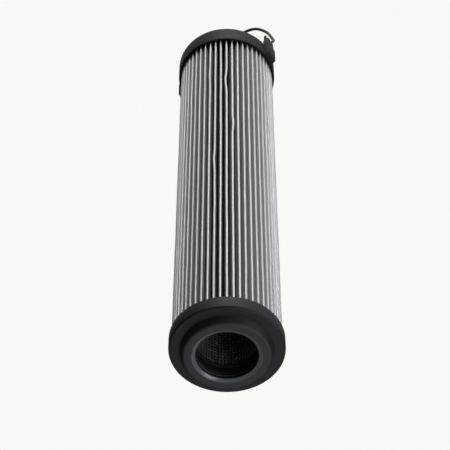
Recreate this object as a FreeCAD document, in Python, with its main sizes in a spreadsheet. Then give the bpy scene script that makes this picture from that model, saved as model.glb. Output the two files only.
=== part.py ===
"""Return-line hydraulic filter element, as a parametric document.

A folded wire-mesh and glass-fibre pack stands round a slotted steel core between two
moulded end caps. The open cap has a neck with a sealed bore. The handle cap carries a
wire bail on two lugs, and a spring-loaded bypass valve inside the core.

Millimetres. The element stands on its neck ring: the origin is the centre of the neck's
end face, +Z runs along the axis to the handle end.
"""

import FreeCAD, Part
import math
import os

import Sketcher

Vector = FreeCAD.Vector

# Driving dimensions: name, value, meaning
DIMENSIONS = [
    ("bore_dia", 53.0, "neck bore, which slides on the housing's spigot"),
    ("ring_width", 10.25, "neck, width of its end ring round the bore"),
    ("neck_taper", 2.75, "neck, widening from its end ring to the flange"),
    ("flange_width", 9.5, "open cap, flange outside the neck"),
    ("face_distance", 428.0, "flange face of the open cap to the outer face of the handle cap"),
    ("neck_rise", 7.5, "neck, proud of the flange face"),
    ("neck_edge", 0.9, "neck, bevel of the end ring's outer edge"),
    ("mouth_chamfer", 3.2, "lead-in at the mouth of the neck bore"),
    ("open_skirt", 13.0, "open cap, flange face to the rim of its skirt"),
    ("skirt_wall", 1.6, "both caps, wall of the skirt"),
    ("rim_chamfer", 1.3, "both caps, outer edge of the skirt"),
    ("flange_thick", 4.0, "open cap, flange over the potting trough"),
    ("hub_wall", 3.5, "open cap, wall of the hub inside the potting trough"),
    ("hub_rise", 8.2, "open cap, flange face to the land that the core stands on"),
    ("groove_start", 4.4, "seal groove, first wall from the neck's end"),
    ("groove_width", 3.6, "seal groove, width"),
    ("groove_depth", 3.0, "seal groove, depth in the bore wall"),
    ("potting_depth", 4.5, "adhesive under each end of the pack"),
    ("pack_gap", 0.15, "pleated pack, fold tips to the inside of the handle cap's skirt"),
    ("fold_count", 52, "pleated pack, number of folds"),
    ("sheet_thick", 1.2, "pleated pack, thickness of the folded sandwich"),
    ("fold_gap", 0.2, "pleated pack, gap inside one fold"),
    ("core_step", 0.75, "core tube, inside wall proud of the neck bore"),
    ("core_wall", 1.2, "core tube, wall"),
    ("core_clearance", 0.3, "core tube to the pack's inner folds"),
    ("slot_columns", 8, "core tube, columns of openings"),
    ("slot_rows", 6, "core tube, openings in a column"),
    ("slot_width", 9.0, "core tube, opening across"),
    ("slot_land", 18.0, "core tube, metal left between openings of a column"),
    ("slot_margin", 18.0, "core tube, plain wall at each end"),
    ("handle_cap_step", 0.5, "handle cap, radius under the open cap's"),
    ("handle_skirt", 15.8, "handle cap, outer face to the rim of its skirt"),
    ("handle_angle", -29.5, "turn of the lugs and the bail about the axis, degrees"),
    ("disc_thick", 5.0, "handle cap, thickness of its disc"),
    ("collar_wall", 3.6, "handle cap, collar inside the core"),
    ("collar_length", 14.0, "handle cap, collar below the disc"),
    ("fit_gap", 0.15, "clearance between parts that are assembled into each other"),
    ("seat_inset", 4.0, "bypass port, inside the edge of the poppet's plate"),
    ("port_chamfer", 1.5, "bypass port, lead-in on the outer face"),
    ("seat_rise", 1.5, "valve seat bead, below the disc"),
    ("seat_width", 1.8, "valve seat bead, width of its crest"),
    ("lug_width", 14.0, "lug, width at the skirt"),
    ("lug_drop", 11.5, "lug, reach below the cap's outer face"),
    ("lug_foot_reach", 4.0, "lug foot, proud of the skirt"),
    ("lug_foot_edge", 1.0, "lug foot, bevel of its lower edge"),
    ("lug_straight", 0.5, "lug, full width up to this height over the cap's outer face"),
    ("lug_bed", 1.3, "lug root, bedded this deep in the skirt's wall"),
    ("lug_blade_reach", 4.0, "lug blade, proud of the skirt at its top"),
    ("lug_blade_thick", 5.8, "lug blade, thickness at its top"),
    ("lug_blade_rise", 3.5, "lug blade, its top above the bail pivot"),
    ("eye_height", 8.5, "bail pivot above the cap's outer face"),
    ("eye_gap", 0.1, "running clearance of the bail in its eye"),
    ("fork_slope", 3.0, "lug fork, height of the slope up to it from the blade"),
    ("fork_rise", 5.7, "lug fork, height above the slope"),
    ("fork_thick", 2.6, "lug fork, radial thickness"),
    ("fork_width", 8.4, "lug fork, width over both prongs"),
    ("fork_edge", 0.5, "lug fork, bevel of its shoulders"),
    ("notch_width", 4.4, "lug fork, width of its notch"),
    ("notch_depth", 4.7, "lug fork, depth of its notch"),
    ("notch_edge", 1.0, "lug fork, bevel in the corners of its notch"),
    ("bail_wire", 3.0, "bail, wire diameter"),
    ("bail_height", 44.9, "bail, pivot to the middle of its grip"),
    ("bail_grip", 66.8, "bail, between the corners of its grip"),
    ("bail_lean", 17.7, "bail, inward lean of a leg below its knee, degrees"),
    ("bail_knee", 23.9, "bail, height of the knee of a leg above the pivot"),
    ("bail_side_gap", 1.0, "bail, straight wire between a lug and the foot bend"),
    ("bail_foot_bend", 2.2, "bail, bend radius beside the lug"),
    ("bail_knee_bend", 30.0, "bail, bend radius at the knee"),
    ("bail_top_bend", 17.6, "bail, bend radius at the grip"),
    ("bail_tail", 1.2, "bail, end that stands inside the eye"),
    ("poppet_thick", 4.0, "valve poppet, plate thickness"),
    ("poppet_dome", 3.0, "valve poppet, rise of its dome"),
    ("poppet_top_dia", 14.0, "valve poppet, flat on top of its dome"),
    ("spigot_drop", 3.0, "valve poppet, spigot that centres the spring"),
    ("spigot_gap", 0.5, "valve poppet, spigot inside the spring"),
    ("seal_thick", 1.6, "valve seal ring, thickness"),
    ("seal_width", 4.6, "valve seal ring, width"),
    ("seal_proud", 0.6, "valve seal ring, proud of the poppet"),
    ("stem_dia", 6.0, "valve stem"),
    ("stem_tip", 4.0, "valve stem, past the guide bush"),
    ("stem_bevel", 0.6, "valve stem, bevel of its tip"),
    ("guide_gap", 0.08, "running clearance of the stem in its bush"),
    ("spring_length", 30.0, "valve spring as fitted"),
    ("spring_wire", 2.0, "valve spring, wire diameter"),
    ("spring_dia", 19.0, "valve spring, mean diameter"),
    ("spring_turns", 5.0, "valve spring, number of turns"),
    ("cage_wall", 2.4, "valve cage, wall inside the collar"),
    ("cage_gap", 0.6, "valve cage, clearance round the poppet"),
    ("cage_flange", 2.5, "valve cage, thickness of its flange"),
    ("cage_floor", 3.0, "valve cage, thickness of its floor"),
    ("cage_leg_width", 7.0, "valve cage, width of a leg"),
    ("cage_leg_inset", 0.4, "valve cage, leg faces back from the bore and from the outside"),
    ("cage_legs", 4, "valve cage, number of legs"),
    ("bush_wall", 1.6, "guide bush, wall"),
    ("bush_proud", 1.0, "guide bush, proud of the cage floor"),
    ("screw_dia", 2.2, "cage screw, shank"),
    ("screw_length", 8.0, "cage screw, shank length"),
    ("screw_head_dia", 3.6, "cage screw, hexagon head over its corners"),
    ("screw_head", 1.6, "cage screw, head height"),
    ("screw_gap", 0.1, "cage screw, clearance round the shank and past its end"),
    ("clip_thick", 0.8, "stem clip, thickness"),
    ("clip_dia", 10.0, "stem clip, outside diameter"),
    ("clip_bite", 0.7, "stem clip, depth of its groove in the stem"),
    ("clip_play", 0.8, "stem clip, groove below the guide bush"),
    ("clip_gap", 0.05, "stem clip, clearance in its groove"),
    ("clip_jaw", 2.1, "stem clip, half of the opening between its jaws"),
]

# Heights and radii that several parts share, as formulas on the sheet
FLANGE_FACE = "dim.neck_rise"
HANDLE_FACE = "(dim.neck_rise + dim.face_distance)"
CORE_FOOT = "(dim.neck_rise + dim.hub_rise)"
TROUGH_FLOOR = "(dim.neck_rise + dim.flange_thick)"
PACK_FOOT = "(dim.neck_rise + dim.flange_thick + dim.potting_depth)"
DISC_UNDER = f"({HANDLE_FACE} - dim.disc_thick)"
PACK_HEAD = f"({DISC_UNDER} - dim.potting_depth)"
NECK_FACE_RADIUS = "(dim.bore_dia / 2 + dim.ring_width)"
NECK_BASE_RADIUS = f"({NECK_FACE_RADIUS} + dim.neck_taper)"
CAP_RADIUS = f"({NECK_BASE_RADIUS} + dim.flange_width)"
HUB_RADIUS = "(dim.bore_dia / 2 + dim.hub_wall)"
HANDLE_CAP_RADIUS = f"({CAP_RADIUS} - dim.handle_cap_step)"
PACK_RADIUS = f"({HANDLE_CAP_RADIUS} - dim.skirt_wall - dim.pack_gap)"
CORE_BORE = "(dim.bore_dia / 2 - dim.core_step)"
CORE_RADIUS = f"({CORE_BORE} + dim.core_wall)"
COLLAR_RADIUS = f"({CORE_BORE} - dim.fit_gap)"
COLLAR_BORE = f"({COLLAR_RADIUS} - dim.collar_wall)"
CAGE_BORE = f"({COLLAR_BORE} - dim.cage_wall)"
POPPET_RADIUS = f"({CAGE_BORE} - dim.cage_gap)"
PORT_RADIUS = f"({POPPET_RADIUS} - dim.seat_inset)"
SEAL_MIDDLE = f"({PORT_RADIUS} + dim.seat_width / 2)"

# The valve's own heights, counted from the handle cap's outer face, downwards negative
SEAT_CREST = "(-dim.disc_thick - dim.seat_rise)"
POPPET_FACE = f"({SEAT_CREST} - dim.seal_proud)"
POPPET_UNDER = f"({POPPET_FACE} - dim.poppet_thick)"
CAGE_FLOOR_TOP = f"({POPPET_UNDER} - dim.spring_length)"
CAGE_FLOOR_UNDER = f"({CAGE_FLOOR_TOP} - dim.cage_floor)"
BUSH_UNDER = f"({CAGE_FLOOR_UNDER} - dim.bush_proud)"
COLLAR_END = "(-dim.disc_thick - dim.collar_length)"
SCREW_CIRCLE = f"({COLLAR_RADIUS} - dim.collar_wall / 2)"
EYE_RADIUS = "(dim.bail_wire / 2 + dim.eye_gap)"
BLADE_OUTSIDE = f"({HANDLE_CAP_RADIUS} + dim.lug_blade_reach)"
BLADE_INSIDE = f"({BLADE_OUTSIDE} - dim.lug_blade_thick)"
BLADE_TOP = "(dim.eye_height + dim.lug_blade_rise)"
FORK_OUTSIDE = f"({BLADE_INSIDE} + dim.fork_thick)"
FORK_FOOT = f"({BLADE_TOP} + dim.fork_slope)"
FORK_TOP = f"({FORK_FOOT} + dim.fork_rise)"
CLIP_GROOVE_TOP = f"({BUSH_UNDER} - dim.clip_play)"

# How far a cutting outline runs past the surface that it cuts, and how a bend is divided
OVERRUN = "1"
TIP_FLAT_COUNT = 4
ROOT_FLAT_COUNT = 3
WIRE_SIDE_COUNT = 10
SPRING_SIDE_COUNT = 6
SPRING_FLAT_COUNT = 14

document = FreeCAD.newDocument("filter_element")
sheet = document.addObject("Spreadsheet::Sheet", "dim")


def fill_sheet():
    """Write each driving dimension, its name and its meaning into the sheet."""
    for row, (name, number, meaning) in enumerate(DIMENSIONS, start=1):
        sheet.set(f"A{row}", meaning)
        sheet.set(f"B{row}", str(number))
        sheet.setAlias(f"B{row}", name)
    document.recompute()


def value(formula):
    """The number that a formula on the sheet gives."""
    result = sheet.evalExpression(formula)
    return float(getattr(result, "Value", result))


def new_body(name):
    """An empty body whose label is the part's name."""
    body = document.addObject("PartDesign::Body", name)
    body.Label = name
    return body


def place(part, height, turned=False):
    """Stand a part at a height on the axis; a turned part follows the lugs' angle."""
    angle = value("dim.handle_angle") if turned else 0.0
    turn = FreeCAD.Rotation(Vector(0, 0, 1), angle)
    part.Placement = FreeCAD.Placement(Vector(0, 0, value(height)), turn)
    part.setExpression("Placement.Base.z", height)
    if turned:
        part.setExpression("Placement.Rotation.Angle", "dim.handle_angle * 1 deg")


def new_sketch(body, name, role, offset=None):
    """A sketch on one of the body's own origin planes, or parallel to it at an offset."""
    sketch = body.newObject("Sketcher::SketchObject", name)
    plane = next(item for item in body.Origin.OriginFeatures if item.Role == role)
    sketch.AttachmentSupport = [(plane, "")]
    sketch.MapMode = "FlatFace"
    if offset:
        sketch.setExpression("AttachmentOffset.Base.z", offset)
    return sketch


def pin_point(sketch, edge, end, across, along):
    """Hold one end of an edge at two formulas."""
    for kind, formula in (("DistanceX", across), ("DistanceY", along)):
        index = sketch.addConstraint(Sketcher.Constraint(kind, edge, end, value(formula)))
        sketch.setExpression(f"Constraints[{index}]", formula)


def add_outline(sketch, corners):
    """A closed outline of straight lines through corners, each a pair of formulas."""
    points = [Vector(value(across), value(along), 0) for across, along in corners]
    first = sketch.GeometryCount
    count = len(points)
    for number, point in enumerate(points):
        sketch.addGeometry(Part.LineSegment(point, points[(number + 1) % count]), False)
    for number, (across, along) in enumerate(corners):
        following = first + (number + 1) % count
        sketch.addConstraint(Sketcher.Constraint("Coincident", first + number, 2, following, 1))
        pin_point(sketch, first + number, 1, across, along)


def add_circle(sketch, across, along, radius):
    """A circle whose centre and radius are formulas."""
    centre = Vector(value(across), value(along), 0)
    circle = Part.Circle(centre, Vector(0, 0, 1), value(radius))
    edge = sketch.addGeometry(circle, False)
    pin_point(sketch, edge, 3, across, along)
    index = sketch.addConstraint(Sketcher.Constraint("Radius", edge, value(radius)))
    sketch.setExpression(f"Constraints[{index}]", radius)


def turned_feature(body, kind, name, corners):
    """A full turn of an outline in the XZ plane about the body's axis."""
    sketch = new_sketch(body, name + "_outline", "XZ_Plane")
    add_outline(sketch, corners)
    feature = body.newObject(kind, name)
    feature.Profile = (sketch, [""])
    feature.ReferenceAxis = (sketch, ["V_Axis"])
    feature.Angle = 360.0
    return feature


def revolve(body, name, corners):
    """Material turned about the axis."""
    return turned_feature(body, "PartDesign::Revolution", name, corners)


def groove(body, name, corners):
    """A cut turned about the axis, checked to take material away."""
    before = solid_volume(body)
    feature = turned_feature(body, "PartDesign::Groove", name, corners)
    check_cut(body, name, before)
    return feature


def solid_volume(body):
    """The body's volume once everything is worked out."""
    document.recompute()
    return body.Shape.Volume


def check_cut(body, name, before):
    """Stop if a cut left the body as it was."""
    if solid_volume(body) >= before:
        raise RuntimeError(f"{name} cuts nothing from {body.Label}")


def pad(body, name, sketch, length, midplane=False, reverse=False):
    """Material raised from a sketch."""
    feature = body.newObject("PartDesign::Pad", name)
    feature.Profile = (sketch, [""])
    feature.setExpression("Length", length)
    if midplane:
        feature.SideType = "Symmetric"
    feature.Reversed = reverse
    return feature


def pocket(body, name, sketch, length, reverse=False, midplane=False):
    """A cut down from a sketch, checked to take material away."""
    before = solid_volume(body)
    feature = body.newObject("PartDesign::Pocket", name)
    feature.Profile = (sketch, [""])
    feature.setExpression("Length", length)
    if midplane:
        feature.SideType = "Symmetric"
    feature.Reversed = reverse
    check_cut(body, name, before)
    return feature


def polar_pattern(body, name, feature, count):
    """Copies of a feature round the body's axis."""
    pattern = body.newObject("PartDesign::PolarPattern", name)
    pattern.Originals = [feature]
    axis = next(item for item in body.Origin.OriginFeatures if item.Role == "Z_Axis")
    pattern.Axis = (axis, [""])
    pattern.Angle = 360.0
    pattern.setExpression("Occurrences", count)
    body.Tip = pattern
    return pattern


def round_edges(body, radius, height, tolerance=1e-4):
    """Names of the tip's circular edges about the axis at a radius and a height."""
    document.recompute()
    names = []
    for number, edge in enumerate(body.Tip.Shape.Edges, start=1):
        curve = edge.Curve
        if not isinstance(curve, Part.Circle):
            continue
        on_axis = math.hypot(curve.Center.x, curve.Center.y) < tolerance
        at_height = abs(curve.Center.z - value(height)) < tolerance
        if on_axis and at_height and abs(curve.Radius - value(radius)) < tolerance:
            names.append(f"Edge{number}")
    if not names:
        raise RuntimeError(f"no round edge of {body.Label} at {radius}, {height}")
    return names


def bevel(body, name, size, edges):
    """A chamfer on edges of the tip."""
    base = body.Tip
    feature = body.newObject("PartDesign::Chamfer", name)
    feature.Base = (base, edges)
    feature.setExpression("Size", size)
    return feature


def ring(name, inner, outer, low, high, height="0", turned=False):
    """A plain ring of rectangular section."""
    body = new_body(name)
    corners = [(inner, low), (outer, low), (outer, high), (inner, high)]
    revolve(body, "section", corners)
    place(body, height, turned)
    return body


def open_end_cap():
    """Neck, flange, skirt and hub of the open end, in one moulding."""
    body = new_body("open_end_cap")
    trough_outside = f"{CAP_RADIUS} - dim.skirt_wall"
    skirt_rim = "dim.neck_rise + dim.open_skirt"
    revolve(body, "moulding", [
        ("dim.bore_dia / 2", "0"),
        (NECK_FACE_RADIUS, "0"),
        (NECK_BASE_RADIUS, FLANGE_FACE),
        (CAP_RADIUS, FLANGE_FACE),
        (CAP_RADIUS, skirt_rim),
        (trough_outside, skirt_rim),
        (trough_outside, TROUGH_FLOOR),
        (HUB_RADIUS, TROUGH_FLOOR),
        (HUB_RADIUS, CORE_FOOT),
        ("dim.bore_dia / 2", CORE_FOOT),
    ])
    seal_floor = "dim.bore_dia / 2 + dim.groove_depth"
    groove_end = "dim.groove_start + dim.groove_width"
    groove(body, "seal_groove", [
        (f"dim.bore_dia / 2 - {OVERRUN}", "dim.groove_start"),
        (seal_floor, "dim.groove_start"),
        (seal_floor, groove_end),
        (f"dim.bore_dia / 2 - {OVERRUN}", groove_end),
    ])
    mouth = round_edges(body, "dim.bore_dia / 2", "0")
    bevel(body, "mouth_lead_in", "dim.mouth_chamfer", mouth)
    ring_edge = round_edges(body, NECK_FACE_RADIUS, "0")
    bevel(body, "neck_ring_edge", "dim.neck_edge", ring_edge)
    rim = round_edges(body, CAP_RADIUS, FLANGE_FACE)
    bevel(body, "flange_edge", "dim.rim_chamfer", rim)
    return body


def neck_seal_ring():
    """The seal ring in the neck bore, drawn as squeezed flush with the bore."""
    middle = "dim.groove_start + dim.groove_width / 2"
    half = "dim.groove_depth / 2"
    return ring("neck_seal_ring", "dim.bore_dia / 2", "dim.bore_dia / 2 + dim.groove_depth",
                f"-{half}", half, middle)


def flank_frame(angle):
    """Directions along a fold and across it."""
    along = Vector(math.cos(angle), math.sin(angle), 0)
    across = Vector(-math.sin(angle), math.cos(angle), 0)
    return along, across


def bend(centre, radius, start_angle, turn, flats):
    """Corners of a bend about a centre, divided into equal flats."""
    corners = []
    for step in range(flats + 1):
        direction, _ = flank_frame(start_angle + turn * step / flats)
        corners.append(centre + direction * radius)
    return corners


def folded_wire(offset):
    """One face of the folded sheet in section: parallel flanks joined by bends."""
    count = round(value("dim.fold_count"))
    half_pitch = math.pi / count
    thickness = value("dim.sheet_thick")
    tip_bend = (thickness + value("dim.fold_gap")) / 2
    tip_centre = value(PACK_RADIUS) - thickness / 2 - tip_bend
    inner_radius = value(f"{CORE_RADIUS} + dim.core_clearance")
    root_centre = (inner_radius + thickness / 2 - tip_bend) / (1 - math.sin(half_pitch))
    root_bend = root_centre * math.sin(half_pitch) - tip_bend
    tip_flats = TIP_FLAT_COUNT if offset > 0 else 1
    root_flats = ROOT_FLAT_COUNT if offset < 0 else 1
    corners = []
    for fold in range(count):
        angle = 2 * half_pitch * fold
        along, _ = flank_frame(angle)
        tip = along * tip_centre
        corners += bend(tip, tip_bend + offset, angle - math.pi / 2, math.pi, tip_flats)
        between = angle + half_pitch
        root_direction, _ = flank_frame(between)
        root = root_direction * root_centre
        quarter = math.pi / 2 - half_pitch
        first = between + math.pi + quarter
        corners += bend(root, root_bend - offset, first, -2 * quarter, root_flats)
    return Part.makePolygon(corners + corners[:1])


def pleated_media_pack():
    """Mesh, fleece and glass fibre folded together as one closed, pleated sheet."""
    half = value("dim.sheet_thick") / 2
    face = Part.makeFace([folded_wire(half), folded_wire(-half)], "Part::FaceMakerBullseye")
    pack = document.addObject("Part::Feature", "pleated_media_pack")
    pack.Label = "pleated_media_pack"
    pack.Shape = face.extrude(Vector(0, 0, value(f"{PACK_HEAD} - {PACK_FOOT}")))
    place(pack, PACK_FOOT)
    return pack


def core_tube():
    """The slotted steel tube that holds the pack's inner folds."""
    body = new_body("core_tube")
    length = f"({DISC_UNDER} - {CORE_FOOT})"
    sketch = new_sketch(body, "wall", "XY_Plane")
    add_circle(sketch, "0", "0", CORE_BORE)
    add_circle(sketch, "0", "0", CORE_RADIUS)
    pad(body, "tube", sketch, length)
    openings = new_sketch(body, "column", "YZ_Plane")
    pitch = f"(({length} - 2 * dim.slot_margin + dim.slot_land) / dim.slot_rows)"
    for row in range(round(value("dim.slot_rows"))):
        low = f"dim.slot_margin + {row} * {pitch}"
        high = f"{low} + {pitch} - dim.slot_land"
        add_outline(openings, [
            ("-dim.slot_width / 2", low),
            ("dim.slot_width / 2", low),
            ("dim.slot_width / 2", high),
            ("-dim.slot_width / 2", high),
        ])
    reach = f"{CORE_RADIUS} + {OVERRUN}"
    column = pocket(body, "column_openings", openings, reach, reverse=True)
    polar_pattern(body, "all_openings", column, "dim.slot_columns")
    place(body, CORE_FOOT)
    return body


def handle_end_cap():
    """Disc, skirt, collar, valve seat and the two lugs of the bail, in one moulding."""
    body = new_body("handle_end_cap")
    skirt_bore = f"{HANDLE_CAP_RADIUS} - dim.skirt_wall"
    seat_outside = f"{PORT_RADIUS} + dim.seat_width"
    revolve(body, "moulding", [
        (PORT_RADIUS, "0"),
        (HANDLE_CAP_RADIUS, "0"),
        (HANDLE_CAP_RADIUS, "-dim.handle_skirt"),
        (skirt_bore, "-dim.handle_skirt"),
        (skirt_bore, "-dim.disc_thick"),
        (COLLAR_RADIUS, "-dim.disc_thick"),
        (COLLAR_RADIUS, COLLAR_END),
        (COLLAR_BORE, COLLAR_END),
        (COLLAR_BORE, "-dim.disc_thick"),
        (seat_outside, "-dim.disc_thick"),
        (seat_outside, SEAT_CREST),
        (PORT_RADIUS, SEAT_CREST),
    ])
    port_edge = round_edges(body, PORT_RADIUS, "0")
    bevel(body, "port_lead_in", "dim.port_chamfer", port_edge)
    rim = round_edges(body, HANDLE_CAP_RADIUS, "0")
    bevel(body, "disc_edge", "dim.rim_chamfer", rim)
    add_lugs(body)
    add_screw_holes(body)
    place(body, HANDLE_FACE, turned=True)
    return body


def add_lugs(body):
    """Two lugs on the skirt: a foot, a blade with the bail's eye, and a notched fork on top."""
    root = f"{HANDLE_CAP_RADIUS} - dim.lug_bed"
    foot_outside = f"{HANDLE_CAP_RADIUS} + dim.lug_foot_reach"
    cut_width = f"4 * {HANDLE_CAP_RADIUS}"
    sides = new_sketch(body, "lug_sides", "XZ_Plane")
    for sign in ("", "-"):
        add_outline(sides, [
            (f"{sign}({root})", "-dim.lug_drop"),
            (f"{sign}({foot_outside} - dim.lug_foot_edge)", "-dim.lug_drop"),
            (f"{sign}({foot_outside})", "-dim.lug_drop + 2 * dim.lug_foot_edge"),
            (f"{sign}{BLADE_OUTSIDE}", BLADE_TOP),
            (f"{sign}{FORK_OUTSIDE}", FORK_FOOT),
            (f"{sign}{FORK_OUTSIDE}", FORK_TOP),
            (f"{sign}{BLADE_INSIDE}", FORK_TOP),
            (f"{sign}{BLADE_INSIDE}", "-dim.rim_chamfer"),
            (f"{sign}({root})", "-2 * dim.rim_chamfer"),
        ])
    pad(body, "lug_blocks", sides, "dim.lug_width", midplane=True)
    taper = new_sketch(body, "lug_taper", "YZ_Plane")
    for sign in ("", "-"):
        add_outline(taper, [
            (f"{sign}(dim.lug_width / 2)", "dim.lug_straight"),
            (f"{sign}(dim.lug_width / 2 + {OVERRUN})", "dim.lug_straight"),
            (f"{sign}(dim.lug_width / 2 + {OVERRUN})", f"{FORK_TOP} + {OVERRUN}"),
            (f"{sign}(dim.fork_width / 2 - dim.fork_edge)", f"{FORK_TOP} + {OVERRUN}"),
            (f"{sign}(dim.fork_width / 2 - dim.fork_edge)", FORK_TOP),
            (f"{sign}(dim.fork_width / 2)", f"{FORK_TOP} - 2 * dim.fork_edge"),
            (f"{sign}(dim.fork_width / 2)", FORK_FOOT),
        ])
    pocket(body, "lug_flanks", taper, cut_width, midplane=True)
    eye = new_sketch(body, "eye", "YZ_Plane")
    add_circle(eye, "0", "dim.eye_height", EYE_RADIUS)
    pocket(body, "eyes", eye, cut_width, midplane=True)
    notch = new_sketch(body, "fork_notch", "YZ_Plane")
    notch_foot = f"{FORK_TOP} - dim.notch_depth"
    add_outline(notch, [
        ("-dim.notch_width / 2 + dim.notch_edge", notch_foot),
        ("dim.notch_width / 2 - dim.notch_edge", notch_foot),
        ("dim.notch_width / 2", f"{notch_foot} + dim.notch_edge"),
        ("dim.notch_width / 2", f"{FORK_TOP} + {OVERRUN}"),
        ("-dim.notch_width / 2", f"{FORK_TOP} + {OVERRUN}"),
        ("-dim.notch_width / 2", f"{notch_foot} + dim.notch_edge"),
    ])
    pocket(body, "fork_notches", notch, cut_width, midplane=True)


def add_screw_holes(body):
    """Blind holes in the collar's end for the cage screws."""
    hole = new_sketch(body, "screw_hole", "XY_Plane", COLLAR_END)
    add_circle(hole, SCREW_CIRCLE, "0", "dim.screw_dia / 2 + dim.screw_gap")
    depth = "dim.screw_length - dim.cage_flange + dim.screw_gap"
    drilled = pocket(body, "screw_holes_first", hole, depth, reverse=True)
    polar_pattern(body, "screw_holes", drilled, "dim.cage_legs")


def bail_handle():
    """The wire bail: two tails in the lugs' eyes, leaning legs and a grip, in one bent wire."""
    body = new_body("bail_handle")
    wire_radius = "dim.bail_wire / 2"
    tail_end = f"{BLADE_INSIDE} - dim.bail_tail"
    foot_bend = value("dim.bail_foot_bend")
    lean = math.radians(value("dim.bail_lean"))
    foot_reach = foot_bend / math.tan((math.pi / 2 - lean) / 2)
    leg = value(f"{BLADE_OUTSIDE} + dim.bail_side_gap") + foot_reach
    knee = value("dim.bail_knee")
    corners = [
        Vector(value(tail_end), 0, 0),
        Vector(leg, 0, 0),
        Vector(leg - knee * math.tan(lean), knee, 0),
        Vector(value("dim.bail_grip / 2"), value("dim.bail_height"), 0),
    ]
    corners += [Vector(-point.x, point.y, 0) for point in reversed(corners)]
    bends = [foot_bend, value("dim.bail_knee_bend"), value("dim.bail_top_bend")]
    path = new_sketch(body, "path", "XZ_Plane")
    add_bent_line(path, corners, bends + bends[::-1])
    section = new_sketch(body, "section", "YZ_Plane", tail_end)
    turns = [360.0 * side / WIRE_SIDE_COUNT for side in range(WIRE_SIDE_COUNT)]
    add_outline(section, [(f"{wire_radius} * cos({turn})", f"{wire_radius} * sin({turn})")
                          for turn in turns])
    pipe = body.newObject("PartDesign::AdditivePipe", "wire")
    pipe.Profile = (section, [""])
    pipe.Spine = (path, [f"Edge{number + 1}" for number in range(path.GeometryCount)])
    place(body, f"{HANDLE_FACE} + dim.eye_height", turned=True)
    return body


def add_bent_line(sketch, corners, radii):
    """Straight runs through corners, with a tangent arc of a given radius at each bend."""
    start = corners[0]
    for number, radius in enumerate(radii, start=1):
        corner = corners[number]
        back = (corners[number - 1] - corner).normalize()
        onward = (corners[number + 1] - corner).normalize()
        half_angle = back.getAngle(onward) / 2
        reach = radius / math.tan(half_angle)
        inwards = (back + onward).normalize()
        middle = corner + inwards * (radius / math.sin(half_angle) - radius)
        sketch.addGeometry(Part.LineSegment(start, corner + back * reach), False)
        arc = Part.Arc(corner + back * reach, middle, corner + onward * reach)
        sketch.addGeometry(arc, False)
        start = corner + onward * reach
    sketch.addGeometry(Part.LineSegment(start, corners[-1]), False)


def spring_cage():
    """Flange, legs and floor that hold the valve under the cap."""
    body = new_body("spring_cage")
    flange_under = f"{COLLAR_END} - dim.cage_flange"
    cage_outside = COLLAR_BORE
    bush_radius = "dim.stem_dia / 2 + dim.guide_gap + dim.bush_wall"
    revolve(body, "floor", [
        (bush_radius, CAGE_FLOOR_TOP),
        (cage_outside, CAGE_FLOOR_TOP),
        (cage_outside, CAGE_FLOOR_UNDER),
        (bush_radius, CAGE_FLOOR_UNDER),
    ])
    plan = new_sketch(body, "leg_plan", "XY_Plane", CAGE_FLOOR_UNDER)
    add_outline(plan, [
        (f"{CAGE_BORE} + dim.cage_leg_inset", "-dim.cage_leg_width / 2"),
        (f"{cage_outside} - dim.cage_leg_inset", "-dim.cage_leg_width / 2"),
        (f"{cage_outside} - dim.cage_leg_inset", "dim.cage_leg_width / 2"),
        (f"{CAGE_BORE} + dim.cage_leg_inset", "dim.cage_leg_width / 2"),
    ])
    leg = pad(body, "leg", plan, f"{COLLAR_END} - {CAGE_FLOOR_UNDER}")
    polar_pattern(body, "legs", leg, "dim.cage_legs")
    revolve(body, "flange", [
        (CAGE_BORE, COLLAR_END),
        (COLLAR_RADIUS, COLLAR_END),
        (COLLAR_RADIUS, flange_under),
        (CAGE_BORE, flange_under),
    ])
    hole = new_sketch(body, "screw_hole", "XY_Plane", flange_under)
    add_circle(hole, SCREW_CIRCLE, "0", "dim.screw_dia / 2 + dim.screw_gap")
    drilled = pocket(body, "screw_hole_first", hole, "dim.cage_flange", reverse=True)
    polar_pattern(body, "screw_holes", drilled, "dim.cage_legs")
    place(body, HANDLE_FACE, turned=True)
    return body


def cage_screws():
    """The screws that hold the cage to the collar, as one set of equal solids."""
    count = round(value("dim.cage_legs"))
    screws = []
    for number in range(count):
        shank = document.addObject("Part::Cylinder", f"screw_shank_{number}")
        shank.setExpression("Radius", "dim.screw_dia / 2")
        shank.setExpression("Height", "dim.screw_length")
        head = document.addObject("Part::Prism", f"screw_head_{number}")
        head.Polygon = 6
        head.setExpression("Circumradius", "dim.screw_head_dia / 2")
        head.setExpression("Height", "dim.screw_head")
        head.setExpression("Placement.Base.z", "-dim.screw_head")
        screw = document.addObject("Part::Fuse", f"screw_{number}")
        screw.Base = shank
        screw.Tool = head
        turn = 360.0 * number / count
        screw.setExpression("Placement.Base.x", f"{SCREW_CIRCLE} * cos({turn})")
        screw.setExpression("Placement.Base.y", f"{SCREW_CIRCLE} * sin({turn})")
        screws.append(screw)
    group = document.addObject("Part::Compound", "cage_screws")
    group.Label = "cage_screws"
    group.Links = screws
    place(group, f"{HANDLE_FACE} + {COLLAR_END} - dim.cage_flange", turned=True)
    return group


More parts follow.
